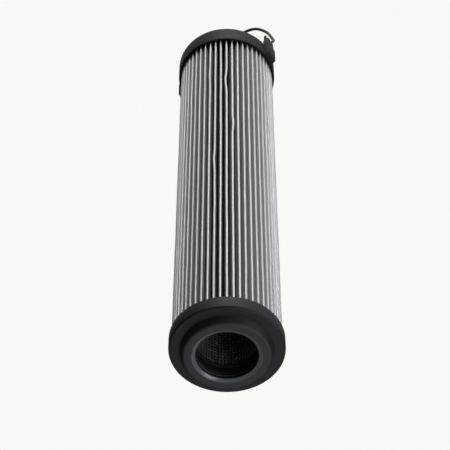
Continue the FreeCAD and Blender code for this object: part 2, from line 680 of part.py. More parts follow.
def bypass_poppet():
    """Valve plate with a dome inside its seal, a spigot inside its spring, and its stem."""
    body = new_body("bypass_poppet")
    seal_inside = f"({SEAL_MIDDLE} - dim.seal_width / 2)"
    seal_floor = f"({POPPET_FACE} + dim.seal_proud - dim.seal_thick)"
    spigot = "(dim.spring_dia / 2 - dim.spring_wire / 2 - dim.spigot_gap)"
    spigot_end = f"({POPPET_UNDER} - dim.spigot_drop)"
    stem = "dim.stem_dia / 2"
    tip = f"{BUSH_UNDER} - dim.stem_tip"
    revolve(body, "plate", [
        ("0", f"{POPPET_FACE} + dim.poppet_dome"),
        ("dim.poppet_top_dia / 2", f"{POPPET_FACE} + dim.poppet_dome"),
        (seal_inside, POPPET_FACE),
        (seal_inside, seal_floor),
        (POPPET_RADIUS, seal_floor),
        (POPPET_RADIUS, POPPET_UNDER),
        (spigot, POPPET_UNDER),
        (spigot, spigot_end),
        (stem, spigot_end),
        (stem, f"{tip} + dim.stem_bevel"),
        (f"{stem} - dim.stem_bevel", tip),
        ("0", tip),
    ])
    groove_foot = f"({CLIP_GROOVE_TOP} - dim.clip_thick - 2 * dim.clip_gap)"
    groove(body, "clip_groove", [
        (f"{stem} + {OVERRUN}", CLIP_GROOVE_TOP),
        (f"{stem} + {OVERRUN}", groove_foot),
        (f"{stem} - dim.clip_bite", groove_foot),
        (f"{stem} - dim.clip_bite", CLIP_GROOVE_TOP),
    ])
    place(body, HANDLE_FACE, turned=True)
    return body


def stem_clip():
    """Open spring ring in the stem's groove, under the guide bush."""
    body = new_body("stem_clip")
    clip_foot = f"{CLIP_GROOVE_TOP} - dim.clip_gap - dim.clip_thick"
    sketch = new_sketch(body, "plan", "XY_Plane", clip_foot)
    add_circle(sketch, "0", "0", "dim.clip_dia / 2")
    add_circle(sketch, "0", "0", "dim.stem_dia / 2 - dim.clip_bite + dim.clip_gap")
    pad(body, "washer", sketch, "dim.clip_thick")
    opening = new_sketch(body, "opening", "XY_Plane", clip_foot)
    add_outline(opening, [
        ("0", "-dim.clip_jaw"),
        ("dim.clip_dia", "-dim.clip_jaw"),
        ("dim.clip_dia", "dim.clip_jaw"),
        ("0", "dim.clip_jaw"),
    ])
    pocket(body, "mouth", opening, "dim.clip_thick", reverse=True)
    place(body, HANDLE_FACE, turned=True)
    return body


def bypass_spring():
    """Compression spring between the cage floor and the poppet."""
    turns = value("dim.spring_turns")
    radius = value("dim.spring_dia / 2")
    rise = value("dim.spring_length - dim.spring_wire")
    count = round(turns * SPRING_FLAT_COUNT)
    corners = []
    for step in range(count + 1):
        out, _ = flank_frame(2 * math.pi * step / SPRING_FLAT_COUNT)
        corners.append(out * radius + Vector(0, 0, rise * step / count))
    line = document.addObject("Part::Feature", "spring_line")
    line.Shape = Part.makePolygon(corners)
    section = document.addObject("Part::RegularPolygon", "spring_section")
    section.Polygon = SPRING_SIDE_COUNT
    section.setExpression("Circumradius", "dim.spring_wire / 2")
    upright = FreeCAD.Rotation(Vector(1, 0, 0), 90)
    section.Placement = FreeCAD.Placement(Vector(radius, 0, 0), upright)
    section.setExpression("Placement.Base.x", "dim.spring_dia / 2")
    document.recompute()
    spring = document.addObject("Part::Sweep", "bypass_spring")
    spring.Label = "bypass_spring"
    spring.Sections = [section]
    spring.Spine = (line, [f"Edge{number + 1}" for number in range(count)])
    spring.Solid = True
    spring.Transition = "Right corner"
    foot = f"{HANDLE_FACE} + {CAGE_FLOOR_TOP} + dim.spring_wire / 2"
    place(spring, foot, turned=True)
    return spring


def stem_bush():
    """Plain bush in the cage floor that guides the stem."""
    inside = "dim.stem_dia / 2 + dim.guide_gap"
    outside = f"{inside} + dim.bush_wall"
    return ring("stem_bush", inside, outside, BUSH_UNDER, CAGE_FLOOR_TOP, HANDLE_FACE, turned=True)


def potting_rings():
    """Adhesive that bonds the pack and the core into both caps."""
    neck = ring("neck_potting_ring", HUB_RADIUS, f"{CAP_RADIUS} - dim.skirt_wall",
                TROUGH_FLOOR, PACK_FOOT)
    handle = ring("handle_potting_ring", CORE_RADIUS, f"{HANDLE_CAP_RADIUS} - dim.skirt_wall",
                  PACK_HEAD, DISC_UNDER)
    return [neck, handle]


def poppet_seal():
    """Flat rubber ring in the poppet's face."""
    inside = f"({SEAL_MIDDLE} - dim.seal_width / 2)"
    outside = f"({SEAL_MIDDLE} + dim.seal_width / 2)"
    return ring("poppet_seal", inside, outside, f"{SEAT_CREST} - dim.seal_thick", SEAT_CREST,
                HANDLE_FACE, turned=True)


def check_document(parts):
    """Stop on any failed object, and on any part that is empty or not valid."""
    document.recompute()
    for item in document.Objects:
        if "Invalid" in item.State or "Error" in item.State:
            raise RuntimeError(f"{item.Label} failed: {item.State}")
    for part in parts:
        if part.Shape.isNull() or not part.Shape.isValid() or not part.Shape.Solids:
            raise RuntimeError(f"{part.Label} is not a valid solid")


def main():
    """Build every part and write each to its own STEP file."""
    fill_sheet()
    parts = [
        open_end_cap(),
        neck_seal_ring(),
        pleated_media_pack(),
        core_tube(),
        handle_end_cap(),
        bail_handle(),
        spring_cage(),
        cage_screws(),
        bypass_poppet(),
        poppet_seal(),
        stem_clip(),
        bypass_spring(),
        stem_bush(),
    ]
    parts += potting_rings()
    check_document(parts)
    os.makedirs("parts", exist_ok=True)
    for part in parts:
        part.Shape.exportStep(f"parts/{part.Label}.step")
        box = part.Shape.BoundBox
        print(f"{part.Label}: {len(part.Shape.Solids)} solids, {part.Shape.Volume:.0f} mm3, "
              f"z {box.ZMin:.2f} to {box.ZMax:.2f}")


main()
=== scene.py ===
"""Dresses the CAD frame of a pleated return-line filter element.

Each piece has an operator. The element stands on its neck ring at the origin, +Z towards the
bail. Sizes are in metres, and the properties start at the element's own sizes.
"""

import math
import random

import bpy
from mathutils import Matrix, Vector


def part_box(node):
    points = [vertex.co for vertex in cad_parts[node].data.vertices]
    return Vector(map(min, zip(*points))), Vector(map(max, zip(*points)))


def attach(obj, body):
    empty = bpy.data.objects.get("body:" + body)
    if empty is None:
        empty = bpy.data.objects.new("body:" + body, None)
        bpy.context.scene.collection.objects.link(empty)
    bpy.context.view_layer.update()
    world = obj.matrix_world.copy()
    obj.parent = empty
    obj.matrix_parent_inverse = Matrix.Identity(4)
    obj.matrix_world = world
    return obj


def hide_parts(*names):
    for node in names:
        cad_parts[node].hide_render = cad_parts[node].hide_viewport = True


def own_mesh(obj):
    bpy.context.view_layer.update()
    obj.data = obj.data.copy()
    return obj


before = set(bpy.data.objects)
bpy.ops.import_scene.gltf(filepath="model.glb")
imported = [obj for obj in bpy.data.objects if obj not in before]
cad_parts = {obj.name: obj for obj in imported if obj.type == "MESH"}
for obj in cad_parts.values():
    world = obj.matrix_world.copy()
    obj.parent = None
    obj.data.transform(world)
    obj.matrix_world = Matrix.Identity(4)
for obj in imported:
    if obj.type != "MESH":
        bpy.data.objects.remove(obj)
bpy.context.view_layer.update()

bl_info = {
    "name": "Filter element",
    "version": (1, 0, 0),
    "blender": (4, 5, 0),
    "location": "3D View > Sidebar > Filter",
    "description": "Caps, pleated pack, core, bail and valve of a filter element, with a stage",
    "category": "Object",
}

MM = 0.001

# Points this close are one: in any piece, and along the rolled seam of the core.
NO_GAP = 1e-6
SEAM_GAP = 0.01 * MM


def length(label, millimetres, about):
    """A size that a user may change, given in millimetres."""
    return bpy.props.FloatProperty(
        name=label, description=about, default=millimetres * MM, unit="LENGTH", precision=5
    )


def count(label, number, about):
    """A whole number that a user may change."""
    return bpy.props.IntProperty(name=label, description=about, default=number, min=1)


def plain_number(label, number, about):
    """A plain number that a user may change."""
    return bpy.props.FloatProperty(name=label, description=about, default=number)


def angle(label, degrees, about):
    """An angle that a user may change, given in degrees."""
    return bpy.props.FloatProperty(
        name=label, description=about, default=math.radians(degrees), subtype="ANGLE"
    )


def colour(label, value, about):
    """A linear colour that a user may change."""
    return bpy.props.FloatVectorProperty(
        name=label, description=about, default=value, size=3, subtype="COLOR", min=0, max=1
    )


def top_of(node):
    """Height of a node's upper end."""
    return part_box(node)[1].z


def foot_of(node):
    """Height of a node's lower end."""
    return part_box(node)[0].z


def reach_of(node):
    """Largest distance of a round node from the axis."""
    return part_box(node)[1].x


def handle_face(caps):
    """Height of the handle cap's face."""
    return top_of("handle_potting_ring") + caps.disc_thick


class CapSizes(bpy.types.PropertyGroup):
    """Sizes of both moulded caps."""
    bore: length("Neck bore", 26.5, "Radius of the neck's bore")
    mouth: length("Mouth", 3.0, "Widening at the mouth of the bore")
    mouth_rise: length("Mouth rise", 1.6, "Height of the widening")
    ring_width: length("Ring width", 10.25, "Width of the neck's end ring")
    ring_edge: length("Ring edge", 0.9, "Bevel of the ring's outer edge")
    neck_taper: length("Neck taper", 2.75, "Widening of the neck towards the flange")
    neck_rise: length("Neck rise", 7.5, "Neck proud of the flange")
    rim_edge: length("Rim edge", 1.3, "Bevel of both caps' outer edges")
    skirt_wall: length("Skirt wall", 1.6, "Wall of both skirts")
    flange_thick: length("Flange", 4.0, "Thickness of the flange")
    hub_wall: length("Hub wall", 3.5, "Wall of the hub round the bore")
    groove_low: length("Groove low", 4.4, "Lower wall of the seal groove")
    groove_high: length("Groove high", 8.0, "Upper wall of the seal groove")
    groove_depth: length("Groove depth", 3.0, "Depth of the seal groove")
    handle_skirt: length("Handle skirt", 19.5, "Skirt of the handle cap, from its face down")
    disc_thick: length("Disc", 5.0, "Thickness of the handle cap's disc")
    port: length("Port", 15.0, "Radius of the bypass port")
    port_edge: length("Port edge", 1.5, "Bevel of the bypass port")
    seat_width: length("Seat width", 1.8, "Width of the valve seat")
    seat_rise: length("Seat rise", 1.5, "Valve seat below the disc")
    collar_outside: length("Collar", 25.6, "Outside radius of the collar in the core")
    collar_wall: length("Collar wall", 3.6, "Wall of the collar")
    collar_length: length("Collar length", 14.0, "Collar below the disc")
    softness: length("Edge softness", 0.35, "Rounding of the moulded edges")
    sides: count("Sides", 192, "Flats round a cap")


class LugSizes(bpy.types.PropertyGroup):
    """Sizes of the lugs and the bail."""
    turn: angle("Lug angle", -29.5, "Turn of the lugs and the bail about the axis")
    root: length("Root", 47.2, "Distance of a lug's root from the axis")
    inside: length("Blade inside", 46.7, "Inner face of the blade and its fork")
    outside: length("Blade outside", 52.5, "Outer face of the foot and the blade")
    fork_outside: length("Fork outside", 49.3, "Outer face of the fork")
    width: length("Width", 14.0, "Width of a lug at the skirt")
    drop: length("Drop", 19.2, "Lug below the cap's face")
    foot_outside: length("Foot outside", 53.5, "Outer face of the foot, beside the skirt")
    foot_slope: length("Foot slope", 4.0, "Height over which the foot slopes back to the blade")
    toe: length("Toe", 1.0, "Bevel of the foot's lower edge")
    straight: length("Straight", 0.5, "Full width up to this height over the cap's face")
    blade_top: length("Blade top", 12.0, "Height at which the outer face slopes back")
    fork_foot: length("Fork foot", 15.0, "Height at which the fork starts")
    fork_top: length("Fork top", 20.7, "Top of the fork")
    fork_width: length("Fork width", 8.4, "Width over both prongs")
    fork_edge: length("Fork edge", 0.5, "Bevel of the fork's shoulders")
    notch_width: length("Notch width", 4.4, "Width of the fork's notch")
    notch_depth: length("Notch depth", 4.7, "Depth of the fork's notch")
    notch_edge: length("Notch edge", 1.0, "Bevel in the notch's corners")
    pivot: length("Pivot", 8.5, "Pivot above the cap's face")
    eye: length("Eye", 1.6, "Radius of the eye")
    wire: length("Wire", 1.5, "Radius of the bail's wire")
    tail_end: length("Tail end", 45.5, "Inner end of the bail's tail")
    leg: length("Leg", 56.51, "Distance of a leg's foot from the axis")
    lean: angle("Lean", 17.7, "Inward lean of a leg below its knee")
    knee: length("Knee", 23.9, "Height of the knee above the pivot")
    grip: length("Grip", 33.4, "Half of the grip's width between its corners")
    height: length("Height", 44.8, "Grip above the pivot")
    foot_bend: length("Foot bend", 2.2, "Bend radius beside the lug")
    knee_bend: length("Knee bend", 60.0, "Bend radius at the knee")
    top_bend: length("Top bend", 21.0, "Bend radius at the grip")


class ValveSizes(bpy.types.PropertyGroup):
    """Sizes of the bypass valve's poppet."""
    travel: length("Travel", 6.0, "Stroke of the valve, which shortens its spring")
    pole: length("Pole", 0.02, "Radius of the small faces on the axis")
    dome_top: length("Dome top", 7.0, "Radius of the flat on the dome")
    seal_inside: length("Seal inside", 13.6, "Radius at which the seal starts")
    seal_proud: length("Seal proud", 0.6, "Seal above the foot of the dome")
    under: length("Underside", 4.6, "Underside of the plate below the seal's top")
    spigot: length("Spigot", 8.0, "Radius of the spigot inside the spring")
    spigot_drop: length("Spigot drop", 3.0, "Spigot below the plate")
    stem: length("Stem", 3.0, "Radius of the stem")
    stem_tip: length("Stem tip", 2.4, "Radius of the stem's end")
    stem_edge: length("Stem edge", 0.6, "Bevel of the stem's end")
    softness: length("Edge softness", 0.25, "Rounding of the turned edges")
    sides: count("Sides", 96, "Flats round the poppet")


class PackSizes(bpy.types.PropertyGroup):
    """Sizes of the pleated pack and the core."""
    folds: count("Folds", 52, "Number of folds")
    tip_radius: length("Tip radius", 46.75, "Fold tips from the axis")
    core_radius: length("Inner radius", 27.25, "Inner folds from the axis")
    thickness: length("Thickness", 0.95, "Thickness of the folded sheet, mesh included")
    shell: length("Shell", 0.8, "Thickness of the sheet under its outer face")
    fold_gap: length("Fold gap", 0.1, "Gap inside a fold")
    lean: length("Lean", 2.2, "Sideways lean of the folds, from valley to tip")
    wander: length("Wander", 0.12, "Sideways wander of the fold tips")
    kink: length("Kink", 0.45, "How far a tip is pushed aside in places")
    dip: length("Dip", 0.25, "How far fold tips stand back here and there")
    taper_high: length("Upper taper", 9.5, "Length of the narrowed tips under the handle cap")
    taper_low: length("Lower taper", 4.0, "Length of the narrowed tips over the open cap")
    set_back: length("Set back", 0.5, "How far the tips stand back under the handle cap")
    neck_set_back: length("Neck set back", 0.3, "How far the tips stand back over the open cap")
    pinch: plain_number("Pinch", 0.62, "Share of a tip's width that the potting takes away")
    core_bore: length("Core bore", 25.75, "Inside radius of the core tube")
    core_wall: length("Core wall", 1.2, "Wall of the core tube")
    core_columns: count("Columns", 56, "Columns of holes in the core")
    core_rows: count("Rows", 116, "Holes in a column")
    core_web: length("Web", 1.5, "Metal between two columns")
    core_bridge: length("Bridge", 0.35, "Metal between two holes of a column")
    core_margin: length("Margin", 2.5, "Plain wall at each end of the core")


class Finishes(bpy.types.PropertyGroup):
    """Colours of the element's finishes, linear."""
    plastic: colour("Moulded plastic", (0.0048, 0.0049, 0.0052), "Black moulded caps")
    rubbed: colour("Rubbed plastic", (0.02, 0.021, 0.022), "End ring, rubbed by the housing")
    # Painted bluish highlight in the mouth of the bore, which the burnish also makes smoother.
    burnish_and_sheen: colour("Lead-in", (0.085, 0.088, 0.095), "Mouth of the bore, burnished by the spigot, with a painted bluish highlight")
    mesh: colour("Wire mesh", (0.53, 0.53, 0.53), "Wire mesh over white fleece, on the fold tips")
    mesh_shade: colour("Mesh shade", (0.34, 0.34, 0.345), "Hollows between the mesh wires")
    mesh_flank: colour("Mesh flank", (0.56, 0.56, 0.56), "Mesh on the flanks of the folds")
    # Painted shade: near-black colour put down in the folds, where the mesh lies in shadow.
    fold_shade: colour("Fold shade", (0.008, 0.008, 0.008), "Painted shade down in the folds")
    core: colour("Core steel", (0.34, 0.34, 0.32), "Perforated steel")
    chromate: colour("Chromate", (0.11, 0.112, 0.085), "Olive film on the bail")
    # On the bail, the bare zinc near the pivot is painted as a highlight.
    zinc: colour("Bright zinc", (0.42, 0.45, 0.49), "Bare zinc near the pivot")
    rubber: colour("Rubber", (0.016, 0.016, 0.017), "Seals")
    alloy: colour("Turned alloy", (0.70, 0.70, 0.71), "Valve plate")
    brass: colour("Brass", (0.66, 0.49, 0.22), "Guide bush")
    spring: colour("Spring steel", (0.36, 0.36, 0.37), "Valve spring")
    epoxy: colour("Potting", (0.045, 0.043, 0.04), "Adhesive in the caps")
    smear: colour("Smear", (0.008, 0.008, 0.008), "Adhesive on the foot of the core")
    floor: colour("Floor", (0.80, 0.80, 0.79), "Stage floor")


class StageSizes(bpy.types.PropertyGroup):
    """Floor, light and camera of the stage."""
    floor_width: length("Floor", 3000, "Width of the floor")
    floor_drop: length("Floor drop", 0.2, "Floor below the neck's end ring")
    surround: colour("Surround", (0.945, 0.945, 0.93), "White seen behind the element")
    fill: plain_number("Fill", 0.12, "Light that the surround gives")
    key: plain_number("Key", 16.0, "Power of the key lamp, in watts")
    ceiling: plain_number("Ceiling", 21.0, "Power of the wide lamp overhead, in watts")
    low_fill: plain_number("Low fill", 4.0, "Power of the lamp below, in watts")
    cool_side: plain_number("Cool side", 7.0, "Power of the cool lamp at the side, in watts")
    lip_light: plain_number("Lip light", 9.0, "Power of the cool lamp below the neck, in watts")
    lens: plain_number("Lens", 129.56, "Focal length, in millimetres")
    sensor: plain_number("Sensor", 36.0, "Width of the sensor, in millimetres")


class Socket:
    """One output in a material, with the arithmetic that patterns are written in."""

    def __init__(self, paint, output):
        self.paint = paint
        self.output = output

    def maths(self, operation, *values):
        """This output and others through a Math node."""
        inputs = dict(enumerate((self, *values)))
        return self.paint.node("ShaderNodeMath", {"operation": operation}, inputs)

    def __add__(self, other):
        return self.maths("ADD", other)

    def __sub__(self, other):
        return self.maths("SUBTRACT", other)

    def __mul__(self, other):
        return self.maths("MULTIPLY", other)

    def __truediv__(self, other):
        return self.maths("DIVIDE", other)

    def __radd__(self, other):
        return self.maths("ADD", other)

    def __rmul__(self, other):
        return self.maths("MULTIPLY", other)

    def __rsub__(self, other):
        return (self * -1) + other

    def __abs__(self):
        return self.maths("ABSOLUTE")

    def ramp(self, low, high):
        """0 at low, 1 at high, with a smooth slope between."""
        settings = {"interpolation_type": "SMOOTHSTEP", "clamp": True}
        inputs = {"Value": self, "From Min": low, "From Max": high}
        return self.paint.node("ShaderNodeMapRange", settings, inputs)


class NodeBoard:
    """A node tree in the making."""

    def __init__(self, tree):
        self.tree = tree

    def feed(self, socket, value):
        """A value or an output into one input socket."""
        if isinstance(value, Socket):
            self.tree.links.new(value.output, socket)
            return
        if hasattr(value, "__len__") and len(value) == 3 and socket.type == "RGBA":
            value = (*value, 1.0)
        socket.default_value = value

    def node(self, kind, settings=None, inputs=None, output=0):
        """A node of any kind: its settings first, then its inputs."""
        made = self.tree.nodes.new(kind)
        for name, value in (settings or {}).items():
            setattr(made, name, value)
        for name, value in (inputs or {}).items():
            self.feed(made.inputs[name], value)
        return Socket(self, made.outputs[output])

    def place(self):
        """Object coordinates of the surface."""
        return self.node("ShaderNodeTexCoord", output="Object")

    def axes(self, vector):
        """The three parts of a vector."""
        split = self.node("ShaderNodeSeparateXYZ", inputs={0: vector}).output.node
        return [Socket(self, output) for output in split.outputs]

    def radius(self, vector):
        """Distance of a place from the element's axis."""
        east, north, _ = self.axes(vector)
        return (east * east + north * north).maths("SQRT")

    def noise(self, vector, scale, detail, roughness=0.55):
        """Smooth noise from 0 to 1, as cells per metre."""
        inputs = {"Vector": vector, "Scale": scale, "Detail": detail, "Roughness": roughness}
        return self.node("ShaderNodeTexNoise", inputs=inputs)

    def blend(self, factor, first, second):
        """A colour between two."""
        settings = {"data_type": "RGBA", "clamp_factor": True}
        made = self.node("ShaderNodeMix", settings).output.node
        for name, value in (("Factor_Float", factor), ("A_Color", first), ("B_Color", second)):
            socket = next(item for item in made.inputs if item.identifier == name)
            self.feed(socket, value)
        result = next(item for item in made.outputs if item.identifier == "Result_Color")
        return Socket(self, result)

    def bump(self, height, distance, strength):
        """A normal from a height in the range 0 to 1, as deep as distance."""
        inputs = {"Height": height, "Distance": distance, "Strength": strength}
        return self.node("ShaderNodeBump", inputs=inputs)


class Paint(NodeBoard):
    """A material in the making: its Principled shader and the nodes in front of it."""

    def __init__(self, name, **constants):
        self.material = bpy.data.materials.new(name)
        self.material.use_nodes = True
        super().__init__(self.material.node_tree)
        self.shader = self.tree.nodes["Principled BSDF"]
        self.set(**constants)

    def set(self, **values):
        """Values or outputs for the shader's sockets, named with underscores for spaces."""
        for name, value in values.items():
            title = name.replace("_", " ").title().replace("Ior", "IOR")
            self.feed(self.shader.inputs[title], value)


def scaled(tint, factor):
    """A colour made darker or lighter by a factor."""
    return tuple(value * factor for value in tint)


def moulded_plastic(finishes):
    """Glass-filled black plastic: a faint mottle, a fine grain and satin gloss.

    Below, the neck's end ring is rubbed, and the mouth of its bore is burnished smoother and
    painted a lighter bluish colour as a highlight.
    """
    ring_fades, ring_full = 1.6 * MM, 0.4 * MM
    mouth_edge, mouth_full = 29.8 * MM, 29.2 * MM
    mouth_fades, mouth_top = 2.6 * MM, 2.0 * MM
    paint = Paint("moulded_plastic", specular_ior_level=0.28)
    place = paint.place()
    height = paint.axes(place)[2]
    rubbed = height.ramp(ring_fades, ring_full)
    in_mouth = paint.radius(place).ramp(mouth_edge, mouth_full)
    # Painted highlight: the mouth of the bore is lighter and bluish in colour, and its real
    # burnish lowers the roughness.
    burnish_and_sheen = in_mouth * height.ramp(mouth_fades, mouth_top)
    mottle = paint.noise(place, scale=90, detail=4)
    grain = paint.noise(place, scale=2400, detail=2)
    worn = paint.noise(place, scale=700, detail=3)
    pale = scaled(finishes.plastic, 1.8)
    mottled = paint.blend(mottle.ramp(0.35, 0.75) * 0.6 + grain * 0.25, finishes.plastic, pale)
    ringed = paint.blend(rubbed, mottled, finishes.rubbed)
    paint.set(
        base_color=paint.blend(burnish_and_sheen, ringed, finishes.burnish_and_sheen),
        roughness=0.56 + mottle * 0.12 + worn.ramp(0.5, 0.8) * 0.08 - burnish_and_sheen * 0.42,
        normal=paint.bump(grain, distance=0.06 * MM, strength=0.5),
    )
    return paint.material


def wire_mesh(finishes):
    """Woven wire mesh over white fleece, laid along the folded sheet by its UV map.

    The map and the pitch of the wires are in millimetres. Down in the folds the colour is painted
    shade, near black.
    """
    wire_pitch = 0.62
    wire_thinness = 1.6
    crossing_dip = 0.38
    paint = Paint("wire_mesh_on_fleece", metallic=0.55, specular_ior_level=0.5)
    sheet = paint.node("ShaderNodeUVMap", {"uv_map": "sheet"})
    across, along, _ = paint.axes(sheet)
    warp_phase = across * (math.pi / wire_pitch)
    weft_phase = along * (math.pi / wire_pitch)
    warp = abs(warp_phase.maths("SINE"))
    weft = abs(weft_phase.maths("SINE"))
    warp_over = (warp_phase / 2).maths("SINE") * (weft_phase / 2).maths("SINE")
    lift = warp_over * crossing_dip
    warp_wires = warp.maths("POWER", wire_thinness) * (1 - crossing_dip + lift)
    weft_wires = weft.maths("POWER", wire_thinness) * (1 - crossing_dip - lift)
    wires = warp_wires.maths("MAXIMUM", weft_wires)
    place = paint.place()
    drawn_out = paint.node("ShaderNodeMapping", inputs={"Vector": place, "Scale": (1, 1, 0.12)})
    streaks = paint.noise(drawn_out, scale=900, detail=2)
    blotch = paint.noise(place, scale=420, detail=3)
    wide = paint.noise(place, scale=28, detail=2)
    tone = wires * 0.55 + blotch.ramp(0.3, 0.7) * 0.26 + streaks * 0.16 + wide * 0.12
    open_mesh = paint.blend(tone, finishes.mesh_shade, finishes.mesh)
    outward = paint.node("ShaderNodeAttribute", {"attribute_name": "outward"}, output="Fac")
    # Painted shade: the flanks darken towards the valleys, near black at the bottom of the folds.
    above_fold_shade = outward.ramp(0.12, 0.8)
    on_tip = outward.ramp(0.93, 1.0)
    flank = paint.blend(tone * 0.6 + 0.4, finishes.fold_shade, finishes.mesh_flank)
    folded = paint.blend(above_fold_shade, finishes.fold_shade, flank)
    paint.set(
        base_color=paint.blend(on_tip, folded, open_mesh),
        roughness=0.46 - wires * 0.08,
        normal=paint.bump(wires, distance=0.22 * MM, strength=0.55),
    )
    return paint.material


def perforated_steel(finishes, foot):
    """Thin perforated steel, dull with an uneven film, its foot smeared with potting."""
    smear_fades, smear_full, smear_waves = foot + 3.6 * MM, foot + 3.0 * MM, 1.0 * MM
    paint = Paint("perforated_steel", specular_ior_level=0.3)
    place = paint.place()
    film = paint.noise(place, scale=160, detail=4)
    grain = paint.noise(place, scale=1800, detail=2)
    height = paint.axes(place)[2]
    smeared = (height + film * smear_waves).ramp(smear_fades, smear_full)
    filmed = paint.blend(film.ramp(0.3, 0.7), scaled(finishes.core, 0.55), finishes.core)
    paint.set(
        base_color=paint.blend(smeared, filmed, finishes.smear),
        metallic=0.85 - smeared * 0.85,
        roughness=0.36 + film * 0.25 + smeared * 0.3,
        normal=paint.bump(grain, distance=0.04 * MM, strength=0.4),
    )
    return paint.material


def plated_wire(finishes, outward, pivot):
    """Olive chromate over zinc, rubbed smoother where the wire turns in its eyes, where bare
    bluish zinc is painted as a highlight.
    """
    bright_fades, bright_full, edge_waves = 56.0 * MM, 53.5 * MM, 2.0 * MM
    rise_fades, rise_full = pivot + 4.5 * MM, pivot + 2.5 * MM
    paint = Paint("plated_wire", metallic=0.9, specular_ior_level=0.5)
    place = paint.place()
    sideways = abs(paint.node("ShaderNodeVectorMath", {"operation": "DOT_PRODUCT"},
                              {0: place, 1: outward}, "Value"))
    ragged = paint.noise(place, scale=260, detail=2)
    film = paint.noise(place, scale=240, detail=4)
    grain = paint.noise(place, scale=1500, detail=3)
    # Painted highlight near the eyes: bright bluish zinc colour, over a real rub that lowers the
    # roughness.
    eye_rub_and_highlight = (sideways + ragged * edge_waves).ramp(bright_fades, bright_full)
    rubbed = eye_rub_and_highlight * paint.axes(place)[2].ramp(rise_fades, rise_full)
    olive = paint.blend(film.ramp(0.35, 0.7), scaled(finishes.chromate, 0.6), finishes.chromate)
    paint.set(
        base_color=paint.blend(rubbed, olive, finishes.zinc),
        roughness=0.46 - rubbed * 0.2 + film * 0.1,
        normal=paint.bump(grain, distance=0.05 * MM, strength=0.35),
    )
    return paint.material


def rubber(finishes):
    """Matt black rubber with a faint bloom."""
    paint = Paint("seal_rubber", specular_ior_level=0.4)
    place = paint.place()
    bloom = paint.noise(place, scale=300, detail=4)
    pale = scaled(finishes.rubber, 1.9)
    paint.set(
        base_color=paint.blend(bloom.ramp(0.4, 0.8), finishes.rubber, pale),
        roughness=0.5 + bloom * 0.2,
        normal=paint.bump(bloom, distance=0.05 * MM, strength=0.3),
    )
    return paint.material


def turned_metal(name, tint, gloss):
    """Metal with fine rings round the axis, as a lathe leaves it."""
    ring_rate = 9000
    paint = Paint(name, metallic=1.0)
    place = paint.place()
    height = paint.axes(place)[2]
    line = ((paint.radius(place) + height) * ring_rate).maths("SINE") * 0.5 + 0.5
    stain = paint.noise(place, scale=220, detail=4)
    paint.set(
        base_color=paint.blend(stain.ramp(0.3, 0.75), scaled(tint, 0.7), tint),
        roughness=gloss + line * 0.12 + stain * 0.1,
        normal=paint.bump(line, distance=0.02 * MM, strength=0.4),
    )
    return paint.material


def drawn_wire(name, tint):
    """Drawn steel wire with a patchy oil film."""
    paint = Paint(name, metallic=1.0)
    place = paint.place()
    film = paint.noise(place, scale=320, detail=4)
    grain = paint.noise(place, scale=2200, detail=2)
    paint.set(
        base_color=paint.blend(film.ramp(0.3, 0.7), scaled(tint, 0.5), tint),
        roughness=0.3 + film * 0.22,
        normal=paint.bump(grain, distance=0.03 * MM, strength=0.3),
    )
    return paint.material


def cast_epoxy(finishes):
    """Dark adhesive, poured and set, with a slightly uneven skin."""
    paint = Paint("cast_epoxy", specular_ior_level=0.5)
    place = paint.place()
    cloud = paint.noise(place, scale=180, detail=4)
    pale = scaled(finishes.epoxy, 1.6)
    paint.set(
        base_color=paint.blend(cloud.ramp(0.35, 0.75), finishes.epoxy, pale),
        roughness=0.34 + cloud * 0.2,
        normal=paint.bump(cloud, distance=0.2 * MM, strength=0.4),
    )
    return paint.material


def start_piece(name):
    """Name the primitive that was just added, put its place in its mesh and open it."""
    piece = bpy.context.active_object
    piece.name = name
    bpy.ops.object.transform_apply(location=True, rotation=True, scale=True)
    bpy.ops.object.mode_set(mode="EDIT")
    bpy.ops.mesh.select_all(action="SELECT")
    return piece


def close_mesh(merge=NO_GAP):
    """Join points that meet, turn all faces outwards and leave edit mode."""
    bpy.ops.mesh.select_all(action="SELECT")
    bpy.ops.mesh.remove_doubles(threshold=merge)
    bpy.ops.mesh.normals_make_consistent(inside=False)
    bpy.ops.object.mode_set(mode="OBJECT")


def take(piece):
    """Make a piece the only one selected."""
    bpy.ops.object.select_all(action="DESELECT")
    piece.select_set(True)
    bpy.context.view_layer.objects.active = piece


def apply_modifier(piece, kind, **settings):
    """Add a modifier with settings and apply it at once."""
    take(piece)
    modifier = piece.modifiers.new(kind.lower(), kind)
    for name, value in settings.items():
        setattr(modifier, name, value)
    bpy.ops.object.modifier_apply(modifier=modifier.name)


def soften(piece, width, steps=3, limit=28):
    """Round every edge sharper than a limit, and shade smoothly over the rest."""
    apply_modifier(piece, "BEVEL", width=width, segments=steps, limit_method="ANGLE",
                   angle_limit=math.radians(limit), use_clamp_overlap=True)
    smooth(piece)


def smooth(piece, limit=32):
    """Smooth shading between faces that meet under a limit."""
    take(piece)
    bpy.ops.object.shade_smooth_by_angle(angle=math.radians(limit))


def turned(name, outline, sides, closed=True):
    """A turned body: a ring of points extruded and scaled along an outline of radius, height."""
    radius, height = outline[0]
    bpy.ops.object.select_all(action="DESELECT")
    bpy.ops.mesh.primitive_circle_add(vertices=sides, radius=radius, location=(0, 0, height))
    piece = start_piece(name)
    bpy.ops.mesh.select_mode(type="EDGE")
    for new_radius, new_height in outline[1:] + (outline[:1] if closed else []):
        rise = (0, 0, new_height - height)
        bpy.ops.mesh.extrude_edges_move(TRANSFORM_OT_translate={"value": rise})
        widen = new_radius / radius
        bpy.ops.transform.resize(value=(widen, widen, 1), center_override=(0, 0, 0))
        radius, height = new_radius, new_height
    if not closed:
        bpy.ops.mesh.select_all(action="SELECT")
        bpy.ops.mesh.fill_holes(sides=0)
    close_mesh()
    return piece


